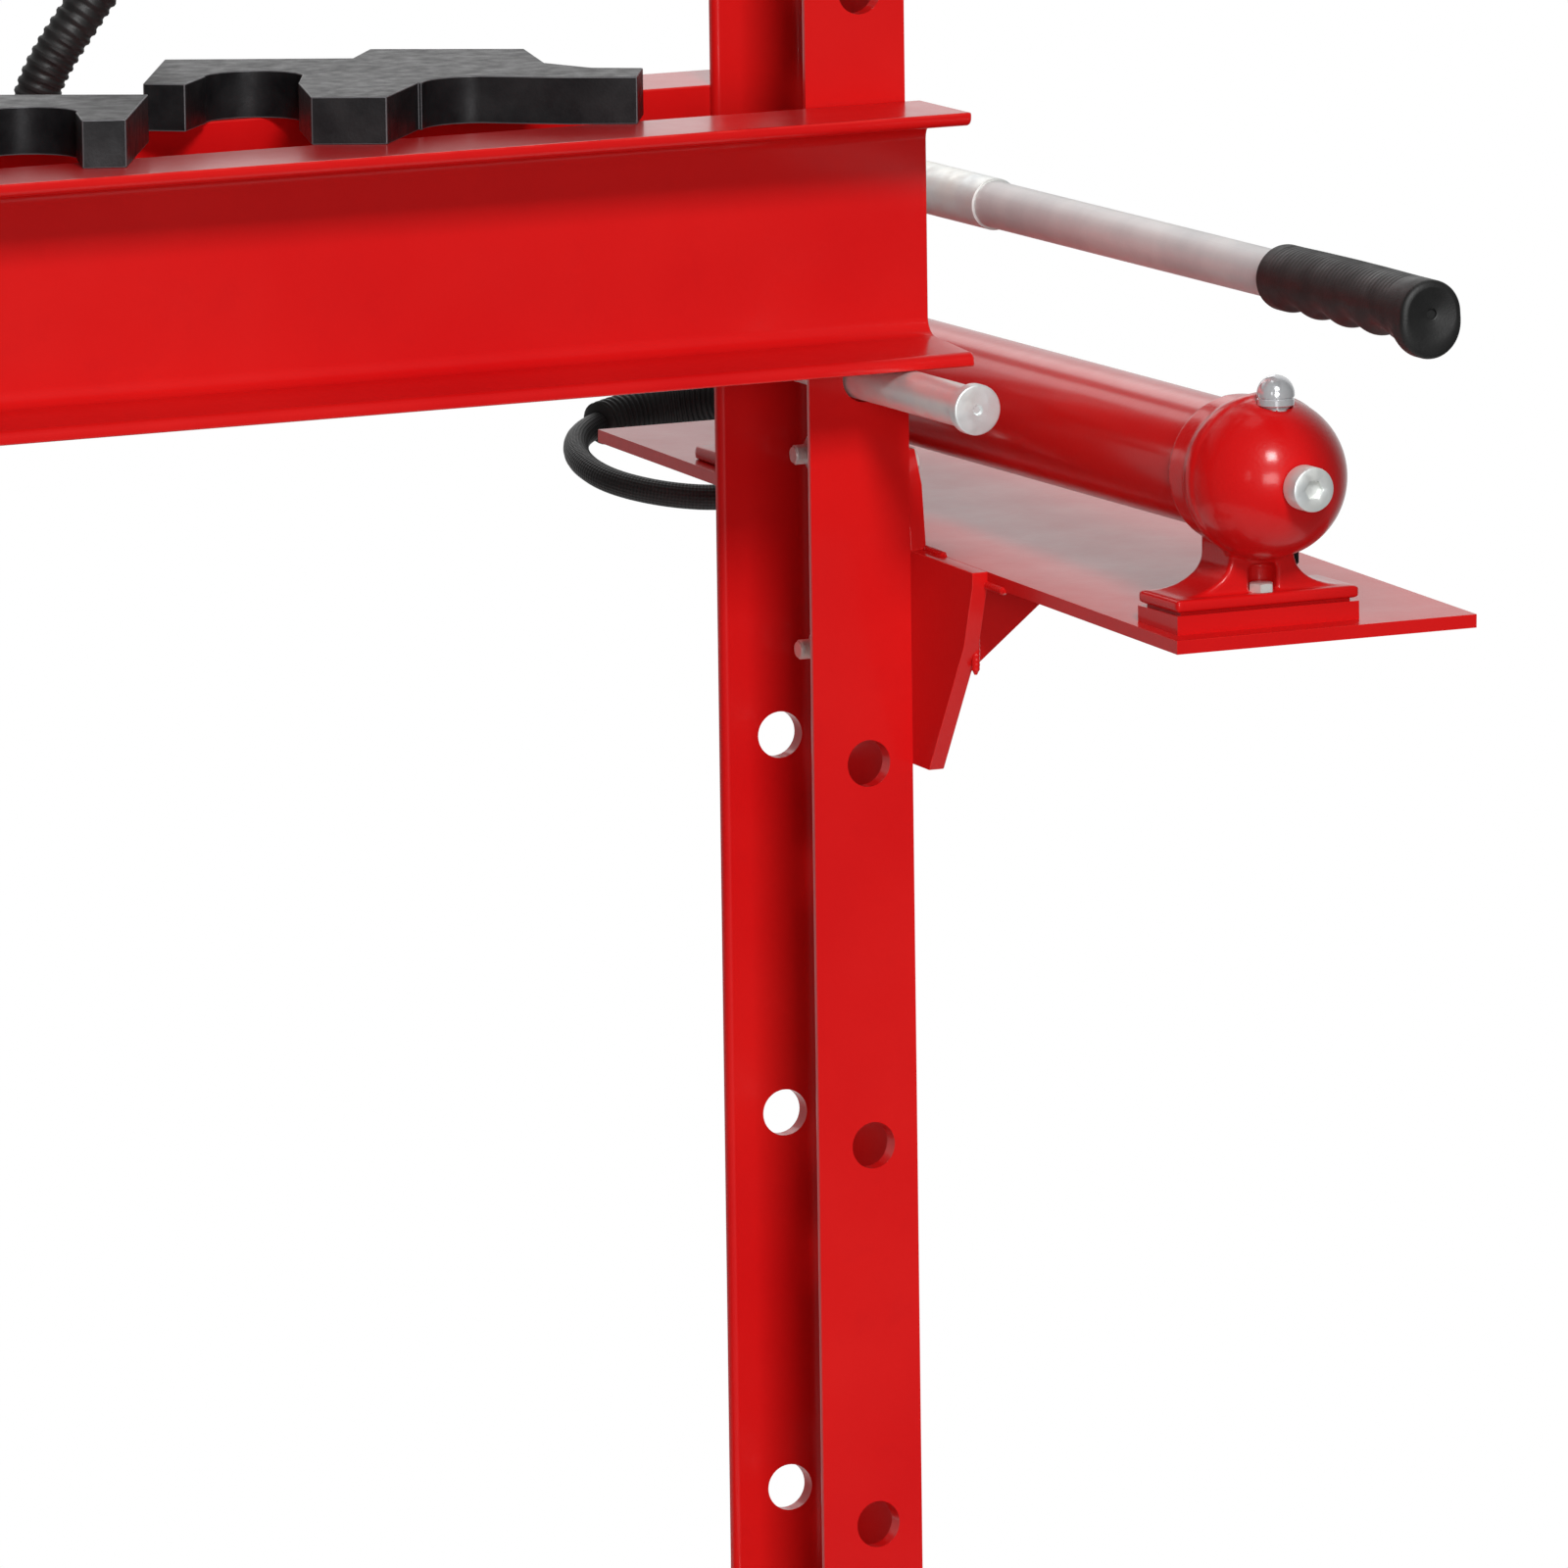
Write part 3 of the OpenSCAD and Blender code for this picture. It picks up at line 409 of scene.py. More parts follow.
def zinc_plate():
    """Bright zinc, with patches of blue and yellow tint, and worn brighter on its edges"""
    s = Surface("zinc_plate", Metallic=0.65)
    tint = s.spread(s.noise(22, 3, 0.6), 0.35, 0.65)
    colour = s.mix(tint, (0.78, 0.82, 0.82), (0.87, 0.87, 0.82))
    worn = s.math("MULTIPLY", s.edges(), s.spread(s.noise(150, 2, 0.6), 0.4, 0.6, 0, 0.6))
    colour = s.mix(worn, colour, (0.90, 0.92, 0.93))
    roughness = s.spread(s.noise(120, 3, 0.6), 0.3, 0.7, 0.36, 0.54)
    return s.set(colour, roughness, s.bump(s.noise(900, 2, 0.5), 0.00004))


def blackened_steel():
    """Oil-blackened steel, lighter on its edges: rubbed bright there, and a painted highlight as well"""
    s = Surface("blackened_steel", Metallic=0.35, IOR=1.3)
    colour = s.mix(s.spread(s.noise(40, 4, 0.6), 0.35, 0.65), (0.006, 0.006, 0.007), (0.016, 0.016, 0.017))
    # Edges lighter grey: partly rubbed bright, partly a painted highlight
    colour = s.mix(s.math("MULTIPLY", s.edges(), 0.5), colour, (0.22, 0.22, 0.23))
    roughness = s.spread(s.noise(90, 3, 0.6), 0.3, 0.7, 0.34, 0.52)
    return s.set(colour, roughness, s.bump(s.noise(600, 3, 0.6), 0.00008))


def dark_paint():
    """Charcoal paint over flame-cut plate: fine upright drag lines on the sides, none on the flats"""
    s = Surface("dark_paint", Coat_Weight=0.12, Coat_Roughness=0.12, IOR=1.3)
    facing = s.node("ShaderNodeSeparateXYZ", {0: s.node("ShaderNodeNewGeometry").outputs["True Normal"]})
    side = s.spread(s.math("ABSOLUTE", facing.outputs["Z"]), 0.2, 0.6, 1, 0)
    lines = s.noise(1.0, 3, 0.7, stretch=(420, 420, 9))
    colour = s.mix(s.spread(s.noise(30, 4, 0.6), 0.35, 0.65), (0.010, 0.012, 0.014), (0.026, 0.029, 0.032))
    streak = s.math("MULTIPLY", side, s.spread(lines, 0.45, 0.75, 0, 0.55))
    colour = s.mix(streak, colour, (0.075, 0.085, 0.095))
    # Edges lighter grey: a painted highlight of the bright line along the plates' edges
    colour = s.mix(s.math("MULTIPLY", s.edges(), 0.55), colour, (0.20, 0.21, 0.22))
    roughness = s.spread(s.noise(26, 4, 0.65), 0.3, 0.7, 0.22, 0.42)
    normal = s.bump(s.math("MULTIPLY", side, lines), 0.0009)
    return s.set(colour, roughness, s.bump(s.noise(190, 2, 0.5), 0.00012, normal))


def machined_steel():
    """Steel with the fine rings that turning leaves round Z"""
    s = Surface("machined_steel", Metallic=1.0)
    turned = s.noise(1.0, 2, 0.6, stretch=(3, 3, 1500))
    colour = s.mix(s.spread(s.noise(30, 3, 0.6), 0.3, 0.7), (0.46, 0.46, 0.47), (0.60, 0.60, 0.60))
    colour = s.mix(s.math("MULTIPLY", s.edges(), 0.5), colour, (0.80, 0.80, 0.80))
    roughness = s.spread(turned, 0.3, 0.7, 0.22, 0.42)
    return s.set(colour, roughness, s.bump(turned, 0.00005))


def chrome():
    """Plated rod with fine scratches along Z"""
    s = Surface("chrome", Metallic=0.6)
    scratches = s.noise(1.0, 2, 0.6, stretch=(900, 900, 14))
    colour = s.mix(s.spread(s.noise(12, 3, 0.6), 0.3, 0.7), (0.74, 0.75, 0.78), (0.82, 0.83, 0.84))
    roughness = s.spread(scratches, 0.45, 0.8, 0.14, 0.3)
    return s.set(colour, roughness, s.bump(scratches, 0.000015))


def bright_tube():
    """Drawn tube with fine lines along Y, its length"""
    s = Surface("bright_tube", Metallic=0.2)
    lines = s.noise(1.0, 3, 0.65, stretch=(1300, 5, 1300))
    colour = s.mix(s.spread(s.noise(18, 4, 0.6), 0.35, 0.65), (0.60, 0.60, 0.60), (0.72, 0.71, 0.70))
    roughness = s.spread(lines, 0.3, 0.75, 0.38, 0.54)
    return s.set(colour, roughness, s.bump(lines, 0.00004))


def rubber(name, shade):
    """Moulded rubber with a fine grain; shade is its darkest grey"""
    s = Surface(name, IOR=1.45)
    colour = s.mix(s.spread(s.noise(60, 4, 0.6), 0.35, 0.7), (shade, shade, shade),
                   (shade * 1.9, shade * 1.95, shade * 1.9))
    roughness = s.spread(s.noise(45, 3, 0.6), 0.3, 0.7, 0.42, 0.62)
    return s.set(colour, roughness, s.bump(s.noise(700, 3, 0.6), 0.00012))


# Strands round the hose, and how far the weave's phase turns along a metre of it, in radians
WEAVE_STRANDS = 12
WEAVE_PER_METRE = 1500.0


def hose_rubber():
    """Rubber hose with the weave of its wrapping pressed into it"""
    s = Surface("hose_rubber", IOR=1.48)
    uv = s.node("ShaderNodeSeparateXYZ", {0: s.node("ShaderNodeTexCoord").outputs["UV"]})
    around = s.math("MULTIPLY", uv.outputs["X"], 2 * math.pi * WEAVE_STRANDS)
    along = s.math("MULTIPLY", uv.outputs["Y"], WEAVE_PER_METRE)
    weave = s.math("MULTIPLY", s.math("SINE", s.math("ADD", along, around)),
                   s.math("SINE", s.math("SUBTRACT", along, around)))
    # Darker in the weave's grooves and lighter on its ridges: painted shade
    colour = s.mix(s.spread(weave, -0.6, 0.9), (0.005, 0.005, 0.005), (0.014, 0.014, 0.014))
    colour = s.mix(s.spread(s.noise(25, 4, 0.6), 0.5, 0.75, 0, 0.4), colour, (0.03, 0.029, 0.027))
    return s.set(colour, s.spread(weave, -1, 1, 0.58, 0.42), s.bump(weave, 0.00018))


def plastic(name, low, high, roughness=0.34):
    """Smooth plastic or enamel, mottled between two colours"""
    s = Surface(name, IOR=1.49)
    colour = s.mix(s.spread(s.noise(50, 3, 0.6), 0.35, 0.65), low, high)
    rough = s.spread(s.noise(80, 3, 0.6), 0.3, 0.7, roughness - 0.06, roughness + 0.1)
    return s.set(colour, rough, s.bump(s.noise(1100, 2, 0.5), 0.00003))


def clear_glass():
    """Window glass with faint smears"""
    s = Surface("clear_glass", Transmission_Weight=1.0, IOR=1.45, Coat_Weight=0.2)
    smears = s.spread(s.noise(60, 3, 0.6), 0.45, 0.75, 0.01, 0.09)
    return s.set((0.95, 0.98, 0.98, 1), smears)


def floor_paint():
    """Pale matt floor"""
    s = Surface("floor_paint", IOR=1.4)
    colour = s.mix(s.spread(s.noise(0.8, 3, 0.5), 0.3, 0.7), (0.84, 0.84, 0.84), (0.88, 0.88, 0.88))
    return s.set(colour, s.spread(s.noise(3, 2, 0.5), 0.3, 0.7, 0.7, 0.85))


LOOKS = {
    "red_paint": red_paint("red_paint"),
    "zinc_plate": zinc_plate(),
    "blackened_steel": blackened_steel(),
    "dark_paint": dark_paint(),
    "machined_steel": machined_steel(),
    "chrome": chrome(),
    "bright_tube": bright_tube(),
    "grip_rubber": rubber("grip_rubber", 0.007),
    "seal_rubber": rubber("seal_rubber", 0.010),
    "hose_rubber": hose_rubber(),
    "dial_white": plastic("dial_white", (0.78, 0.78, 0.76), (0.84, 0.84, 0.83), 0.4),
    "needle_black": plastic("needle_black", (0.010, 0.010, 0.010), (0.016, 0.016, 0.016)),
    "clear_glass": clear_glass(),
    "black_plastic": plastic("black_plastic", (0.012, 0.012, 0.013), (0.028, 0.028, 0.030)),
}
CAST_PAINT = red_paint("cast_red_paint", casting=True)
DIAL_RED = plastic("dial_red", (0.60, 0.015, 0.015), (0.66, 0.02, 0.02))


def slot_of(node):
    return nodes[node].material_slots[0].material.name.split(".")[0]


SLOTS = {node: slot_of(node) for node in nodes}
BODIES = {node: part["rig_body"] for node, part in nodes.items()}
for node, part in nodes.items():
    part.material_slots[0].material = LOOKS[SLOTS[node]]


def finish_piece(piece, node, look=None, replaced=True):
    """Gives a piece the node's body and slot, and its look unless another one is named"""
    piece.data.materials.clear()
    piece.data.materials.append(look or LOOKS[SLOTS[node]])
    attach(piece, BODIES[node])
    if replaced:
        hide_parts(node)


# --- CAD nodes with rounded edges ---
# Edges sharper than this are rounded
SHARP = math.radians(28)
SOFT_CREASE = math.radians(50)
# Faces that meet at less than this are one face
FLAT = math.radians(0.4)
MERGE_DISTANCE = 2e-6
BEVEL_SEGMENTS = 2


def clean_mesh(node):
    """The node's mesh with its vertices merged and its flat faces whole"""
    work = bmesh.new()
    work.from_mesh(nodes[node].data)
    bmesh.ops.remove_doubles(work, verts=work.verts, dist=MERGE_DISTANCE)
    bmesh.ops.dissolve_limit(work, angle_limit=FLAT, verts=work.verts, edges=work.edges)
    return work


def softened(node, width):
    """Copy of a CAD node whose sharp edges are rounded, and marked for the materials to paint wear and a
    painted highlight on them
    """
    work = clean_mesh(node)
    sharp = [e for e in work.edges if len(e.link_faces) == 2 and e.calc_face_angle(0) > SHARP]
    made = bmesh.ops.bevel(work, geom=sharp, offset=width, offset_type="OFFSET",
                           segments=BEVEL_SEGMENTS, profile=0.5, affect="EDGES", clamp_overlap=True)
    edge_faces = set(made["faces"])
    for face in work.faces:
        face.smooth = True
    mark = [face in edge_faces for face in work.faces]
    mesh = bpy.data.meshes.new(node + "_finished")
    work.to_mesh(mesh)
    work.free()
    layer = mesh.attributes.new("edge", "FLOAT", "FACE")
    for value, is_edge in zip(layer.data, mark):
        value.value = 1.0 if is_edge else 0.0
    mesh.set_sharp_from_angle(angle=SOFT_CREASE)
    piece = bpy.data.objects.new(node + "_finished", mesh)
    bpy.context.scene.collection.objects.link(piece)
    weighted = piece.modifiers.new("weighted", "WEIGHTED_NORMAL")
    weighted.keep_sharp = True
    finish_piece(piece, node)


# Width of the rounding, and the nodes that get it
SOFTENED = {
    0.0012: ("left_upright", "right_upright", "head_beam_front", "head_beam_rear", "bed_beam_front",
             "bed_beam_rear", "left_foot", "right_foot", "left_foot_gussets", "right_foot_gussets",
             "lower_tie_front", "lower_tie_rear", "pump_shelf", "shelf_bracket", "bed_spacer_left",
             "bed_spacer_right", "pump_riser_pad", "drain_plug"),
    0.0015: ("arbor_plate_left", "arbor_plate_right", "seat_plate", "lever_yoke", "cylinder_lock_ring"),
    0.0008: ("cylinder_cap", "cylinder_gland", "ram_nose", "ram_rod", "port_elbow", "gauge_tee",
             "gauge_case", "plunger_gland", "pump_plunger", "lever_pivot_pin", "plunger_pin", "lever_tube",
             "release_knob"),
    0.0003: ("gauge_needle", "gauge_dial"),
}


# --- Castings: the pump's end cap and head, with their edges blended ---
def casting(node, voxel, rounds):
    """Copy of a CAD node made of even voxels and smoothed a number of rounds, as a cast skin is"""
    work = clean_mesh(node)
    mesh = bpy.data.meshes.new(node + "_cast")
    work.to_mesh(mesh)
    work.free()
    piece = bpy.data.objects.new(node + "_cast", mesh)
    bpy.context.scene.collection.objects.link(piece)
    remesh = piece.modifiers.new("remesh", "REMESH")
    remesh.mode = "VOXEL"
    remesh.voxel_size = voxel
    remesh.use_smooth_shade = True
    smooth = piece.modifiers.new("smooth", "SMOOTH")
    smooth.factor = 0.5
    smooth.iterations = rounds
    depsgraph = bpy.context.evaluated_depsgraph_get()
    piece.data = bpy.data.meshes.new_from_object(piece.evaluated_get(depsgraph))
    piece.modifiers.clear()
    piece.data.shade_smooth()
    finish_piece(piece, node, CAST_PAINT)


# --- Fasteners: chamfered hexagons, washers and threads ---
HEX_SIDES = 48
THREAD_SIDES = 20
WASHER_SIDES = 48
CHAMFER = math.tan(math.radians(30))
CHAMFER_RIM = 0.95
# Sizes as multiples of the thread's radius
HEX_CORNER = 1.9
HEAD_HEIGHT = 1.3
NUT_HEIGHT = 1.5
WASHER_RADIUS = 2.1
WASHER_HEIGHT = 0.3
THREAD_LENGTH = 3
THREAD_PITCH = 0.19
THREAD_ROOT = 0.86
THREAD_END = 0.8
WASHER_EDGE = 0.08
# Steps in the rounding of a washer's rim
RIM_STEPS = 2


def hex_radius(k, flat):
    """Distance to a hexagon's side at step k of HEX_SIDES, with the hexagon's flats at distance flat"""
    angle = 360 * k / HEX_SIDES % 60 - 30
    return flat / math.cos(math.radians(angle))


def hex_solid(corner, low, high, chamfer_high=True):
    """Hexagonal prism whose corners are chamfered at its low end, and at its high end where asked"""
    flat = corner * math.cos(math.radians(30))
    rim = CHAMFER_RIM * flat
    rows = []
    for end, chamfered, inward in ((low, True, 1), (high, chamfer_high, -1)):
        side = []
        for k in range(HEX_SIDES):
            radius = hex_radius(k, flat)
            drop = max(0.0, radius - rim) * CHAMFER if chamfered else 0.0
            side.append((k, radius, end + inward * drop))
        inner = [(k, rim if chamfered else hex_radius(k, flat) * 0.999, end) for k in range(HEX_SIDES)]
        rows += [inner, side] if inward > 0 else [side, inner]
    points = [on_circle(radius, k, HEX_SIDES, height) for row in rows for k, radius, height in row]
    return points, ring_faces(len(rows), HEX_SIDES)


def threaded(radius, low, plain, high):
    """Shank: plain up to a height, and then threaded to its chamfered end"""
    pitch = THREAD_PITCH * radius
    profile = [(radius, low), (radius, plain)]
    height = plain + pitch
    while height < high - 1.5 * pitch:
        profile += [(THREAD_ROOT * radius, height), (radius, height + pitch / 2)]
        height += pitch
    profile += [(THREAD_ROOT * radius, high - pitch), (THREAD_END * radius, high)]
    return lathe(profile, THREAD_SIDES)


def bolt_solids(radius, length, grip):
    """Bolt with its head under height 0; grip is the height of its nut's washer, or None"""
    solids = [hex_solid(HEX_CORNER * radius, -HEAD_HEIGHT * radius, 0, chamfer_high=False),
              threaded(radius, 0, length - THREAD_LENGTH * radius, length)]
    if grip is not None:
        solids += nut_solids(radius, grip)
    return solids


def washer_profile(radius, low, high, edge):
    """Profile of a disc whose two rims are rounded"""
    turns = [math.pi / 2 * i / RIM_STEPS for i in range(RIM_STEPS + 1)]
    return ([(AXIS_RADIUS, low)]
            + [(radius - edge + edge * math.sin(t), low + edge - edge * math.cos(t)) for t in turns]
            + [(radius - edge + edge * math.cos(t), high - edge + edge * math.sin(t)) for t in turns]
            + [(AXIS_RADIUS, high)])


def nut_solids(radius, base):
    seat = base + WASHER_HEIGHT * radius
    washer = lathe(washer_profile(WASHER_RADIUS * radius, base, seat, WASHER_EDGE * radius), WASHER_SIDES)
    top = base + (WASHER_HEIGHT + NUT_HEIGHT) * radius
    return [washer, hex_solid(HEX_CORNER * radius, seat, top)]


def islands(node):
    """Low and high corner of each separate solid in a CAD node"""
    work = clean_mesh(node)
    seen, boxes = set(), []
    for start in work.verts:
        if start in seen:
            continue
        stack, group = [start], []
        seen.add(start)
        while stack:
            vert = stack.pop()
            group.append(vert.co.copy())
            for edge in vert.link_edges:
                other = edge.other_vert(vert)
                if other not in seen:
                    seen.add(other)
                    stack.append(other)
        boxes.append((Vector([min(p[i] for p in group) for i in range(3)]),
                      Vector([max(p[i] for p in group) for i in range(3)])))
    work.free()
    return boxes


def fasteners(node, radius, outward, grip=None, loose_nut=False):
    """Detailed bolts or nuts in place of a CAD node's plain ones; outward(centre) is where a head faces"""
    solids = []
    for low, high in islands(node):
        centre = (low + high) / 2
        out = outward(centre)
        reach = abs((high - low).dot(out)) / 2
        if loose_nut:
            parts = nut_solids(radius, 0)
            start = centre + out * reach
        else:
            start = centre + out * (reach - HEAD_HEIGHT * radius)
            parts = bolt_solids(radius, 2 * reach - HEAD_HEIGHT * radius, grip)
        solids += [placed(part, start, -out) for part in parts]
    points, faces = joined(solids)
    piece = new_piece(node + "_detailed", points, faces)
    finish_piece(piece, node)


def front_or_back(centre):
    return Y if centre.y > 0 else -Y


# --- Turned pieces ---
TURNED_SIDES = 64


def turned(node, profile, place, direction, extra=()):
    """A node's turned copy; extra solids share its place and direction"""
    solids = [lathe(profile, TURNED_SIDES), *extra]
    points, faces = joined([placed(solid, place, direction) for solid in solids])
    finish_piece(new_piece(node + "_turned", points, faces), node)


def front_centre(node):
    """Middle of the front of a node's box, and the box's length from front to back"""
    low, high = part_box(node)
    return Vector(((low.x + high.x) / 2, low.y, (low.z + high.z) / 2)), high.y - low.y


PIN_HEAD = 0.015
PIN_HEAD_THICKNESS = 0.008
PIN_HEAD_EDGE = 0.0012
PIN_SHANK = 0.0125


def bed_pin(node):
    """Pin with a disc head, which has a rounded rim and a centre mark, and a chamfered far end"""
    place, length = front_centre(node)
    inside = PIN_HEAD - PIN_HEAD_EDGE
    profile = [(AXIS_RADIUS, 0.0012), (0.002, 0.0012), (0.0032, 0.0), (inside, 0.0)]
    profile += [(inside + PIN_HEAD_EDGE * math.sin(t), PIN_HEAD_EDGE - PIN_HEAD_EDGE * math.cos(t))
                for t in (0.5, 1.0, math.pi / 2)]
    profile += [(PIN_HEAD, PIN_HEAD_THICKNESS - 0.0008), (PIN_HEAD - 0.0008, PIN_HEAD_THICKNESS),
                (PIN_SHANK + 0.0005, PIN_HEAD_THICKNESS), (PIN_SHANK, PIN_HEAD_THICKNESS + 0.0006),
                (PIN_SHANK, length - 0.003), (PIN_SHANK - 0.0022, length), (AXIS_RADIUS, length)]
    turned(node, profile, place, Y)


FILLER_SPIGOT_RADIUS = 0.008
FILLER_SPIGOT_LENGTH = 0.012
FILLER_DOME_STEPS = 12


def filler_plug():
    """Domed plug: spigot, grooved skirt and a rounded top"""
    low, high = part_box("filler_plug")
    place = Vector(((low.x + high.x) / 2, (low.y + high.y) / 2, low.z))
    radius, top, spigot = (high.x - low.x) / 2, high.z - low.z, FILLER_SPIGOT_LENGTH
    angles = [math.pi / 2 * i / FILLER_DOME_STEPS for i in range(FILLER_DOME_STEPS)]
    dome = [(radius * math.cos(t), top - radius + radius * math.sin(t)) for t in angles]
    skirt = [(AXIS_RADIUS, 0.0), (FILLER_SPIGOT_RADIUS - 0.0008, 0.0), (FILLER_SPIGOT_RADIUS, 0.001),
             (FILLER_SPIGOT_RADIUS, spigot), (radius - 0.0012, spigot), (radius - 0.0002, spigot + 0.0008),
             (radius - 0.0002, spigot + 0.0042), (radius - 0.0008, spigot + 0.0046),
             (radius - 0.0008, spigot + 0.0052), (radius, spigot + 0.0056)]
    turned("filler_plug", skirt + dome + [(AXIS_RADIUS, top)], place, Z)


END_PLUG_SOCKET_FLAT = 0.0052
END_PLUG_HEAD = 0.0130
END_PLUG_SHANK = 0.0100


def end_plug():
    """Plug with a hexagonal socket in its front face"""
    place, length = front_centre("end_plug")
    rings = [[(AXIS_RADIUS, 0.0045)] * HEX_SIDES]
    for height in (0.004, 0.0002):
        rings.append([(hex_radius(k, END_PLUG_SOCKET_FLAT), height) for k in range(HEX_SIDES)])
    for radius, height in ((0.0062, 0.0), (END_PLUG_HEAD - 0.0014, 0.0), (END_PLUG_HEAD - 0.0004, 0.0004),
                           (END_PLUG_HEAD, 0.0014), (END_PLUG_HEAD, 0.0135), (END_PLUG_SHANK, 0.0137),
                           (END_PLUG_SHANK, length - 0.001), (END_PLUG_SHANK - 0.001, length),
                           (AXIS_RADIUS, length)):
        rings.append([(radius, height)] * HEX_SIDES)
    points = [on_circle(radius, k, HEX_SIDES, height)
              for ring in rings for k, (radius, height) in enumerate(ring)]
    solid = placed((points, ring_faces(len(rings), HEX_SIDES)), place, Y)
    finish_piece(new_piece("end_plug_turned", *solid), "end_plug")


SWIVEL_CORNER = 0.012
SWIVEL_LENGTH = 0.0145
FERRULE_RADIUS = 0.0105
CRIMP_RADIUS = 0.0097
CRIMPS = 5


def hose_fitting(node):
    """Swivel hexagon and crimped ferrule; the hexagon is at the front end"""
    place, length = front_centre(node)
    start, end = 0.020, length - 0.006
    grooves = []
    for i in range(CRIMPS):
        at = start + (end - start) * (i + 0.5) / CRIMPS
        grooves += [(FERRULE_RADIUS, at - 0.0020), (CRIMP_RADIUS, at - 0.0012), (CRIMP_RADIUS, at + 0.0008),
                    (FERRULE_RADIUS, at + 0.0016)]
    ferrule = [(0.0085, 0.014), (0.0085, 0.0165), (0.0098, 0.0168), (FERRULE_RADIUS, 0.0175), *grooves,
               (FERRULE_RADIUS, length - 0.002), (0.0098, length - 0.0004), (0.0082, length)]
    turned(node, ferrule, place, Y, extra=[hex_solid(SWIVEL_CORNER, 0, SWIVEL_LENGTH)])


# --- Lever grip: moulded rubber with finger bumps ---
GRIP_SIDES = 72
GRIP_ROWS = 220
GRIP_RADIUS = 0.0192
GRIP_EDGE = 0.0035
# The part that a hand holds, as fractions of the length from the front
GRIP_HAND = (0.13, 0.93)
GRIP_FINGERS = 4
FINGER_DEPTH = 0.0050
FRONT_BULGE = 0.0068
# The front bulge keeps its height up to the first of these fractions, and fades over the second
BULGE_TO = 0.055
BULGE_FADE = 0.05
PALM_SWELL = 0.0006
RIDGE_DEPTH = 0.0004
RIDGE_PITCH = 0.0042
# Radius and depth of the rings that close each end: a shallow dish and a small hole in front, and the
# lever tube's socket at the back
GRIP_FRONT = ((0.0150, 0.0), (0.0138, 0.0007), (0.0040, 0.0007), (0.0032, 0.0012), (0.0032, 0.0030),
              (0.0003, 0.0030))
GRIP_BACK = ((0.0170, 0.0), (0.0137, 0.0), (0.0137, 0.0030), (0.0003, 0.0030))


def grip_row(t, length):
    """Radii round the grip at the fraction t of its length"""
    along = t * length
    radius = GRIP_RADIUS
    for end in (along, length - along):
        if end < GRIP_EDGE:
            radius -= GRIP_EDGE - math.sqrt(max(0.0, GRIP_EDGE ** 2 - (GRIP_EDGE - end) ** 2))
    front = math.exp(-max(0.0, (t - BULGE_TO) / BULGE_FADE) ** 2)
    phase = (t - GRIP_HAND[0]) / (GRIP_HAND[1] - GRIP_HAND[0])
    held = GRIP_HAND[0] < t < GRIP_HAND[1]
    fingers = 0.5 - 0.5 * math.cos(2 * math.pi * GRIP_FINGERS * phase) if held else 0.0
    ridge = 0.5 + 0.5 * math.cos(2 * math.pi * along / RIDGE_PITCH)
    radii = []
    for k in range(GRIP_SIDES):
        angle = 2 * math.pi * k / GRIP_SIDES
        below = max(0.0, -math.sin(angle)) ** 1.5
        above = max(0.0, math.sin(angle)) ** 3
        bumped = radius - FINGER_DEPTH * fingers * below + FRONT_BULGE * front * below
        if held:
            bumped += PALM_SWELL * above * math.sin(math.pi * phase) - RIDGE_DEPTH * above * ridge
        radii.append(bumped)
    return radii


def lever_grip():
    place, length = front_centre("lever_grip")

    def ring(radii, along):
        """Points round the grip's own axis, which lies along Y"""
        turns = [2 * math.pi * k / GRIP_SIDES for k in range(GRIP_SIDES)]
        return [Vector((place.x + radius * math.cos(turn), along, place.z + radius * math.sin(turn)))
                for radius, turn in zip(radii, turns)]

    points = []
    for i in range(GRIP_ROWS + 1):
        t = i / GRIP_ROWS
        points += ring(grip_row(t, length), place.y + t * length)
    faces = [tuple(reversed(face)) for face in ring_faces(GRIP_ROWS + 1, GRIP_SIDES)[:-2]]
    back_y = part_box("lever_grip")[1].y
    for row, face_y, inward, depths in ((0, place.y, 1, GRIP_FRONT), (GRIP_ROWS, back_y, -1, GRIP_BACK)):
        before = row * GRIP_SIDES
        for radius, depth in depths:
            start = len(points)
            points += ring([radius] * GRIP_SIDES, face_y + inward * depth)
            for k in range(GRIP_SIDES):
                after = (k + 1) % GRIP_SIDES
                quad = (before + k, before + after, start + after, start + k)
                faces.append(quad if inward > 0 else tuple(reversed(quad)))
            before = start
        cap = tuple(before + k for k in range(GRIP_SIDES))
        faces.append(cap if inward > 0 else tuple(reversed(cap)))
    finish_piece(new_piece("lever_grip_moulded", points, faces), "lever_grip")


# --- Gauge face: ticks and numbers from lower left, over the top, to lower right ---
DIAL_STEPS = 50
DIAL_START = 225
DIAL_SWEEP = 270
DIAL_RED_FROM = 45
TICKS_PER_LONG = 5
# Length and width of a tick
LONG_TICK = (0.0060, 0.0007)
SHORT_TICK = (0.0034, 0.00035)
TICK_THICKNESS = 0.0003
# Places on the dial, as fractions of its radius
TICKS_OUT_TO = 0.90
NUMBERS_AT = 0.60
NUMBER_EVERY = 10
NUMBER_SIZE = 0.0085
NUMBER_HALF_THICKNESS = 0.0001


def dial_way(value):
    """Direction from the dial's centre to a value"""
    angle = math.radians(DIAL_START - DIAL_SWEEP * value / DIAL_STEPS)
    return Vector((math.cos(angle), 0, math.sin(angle)))


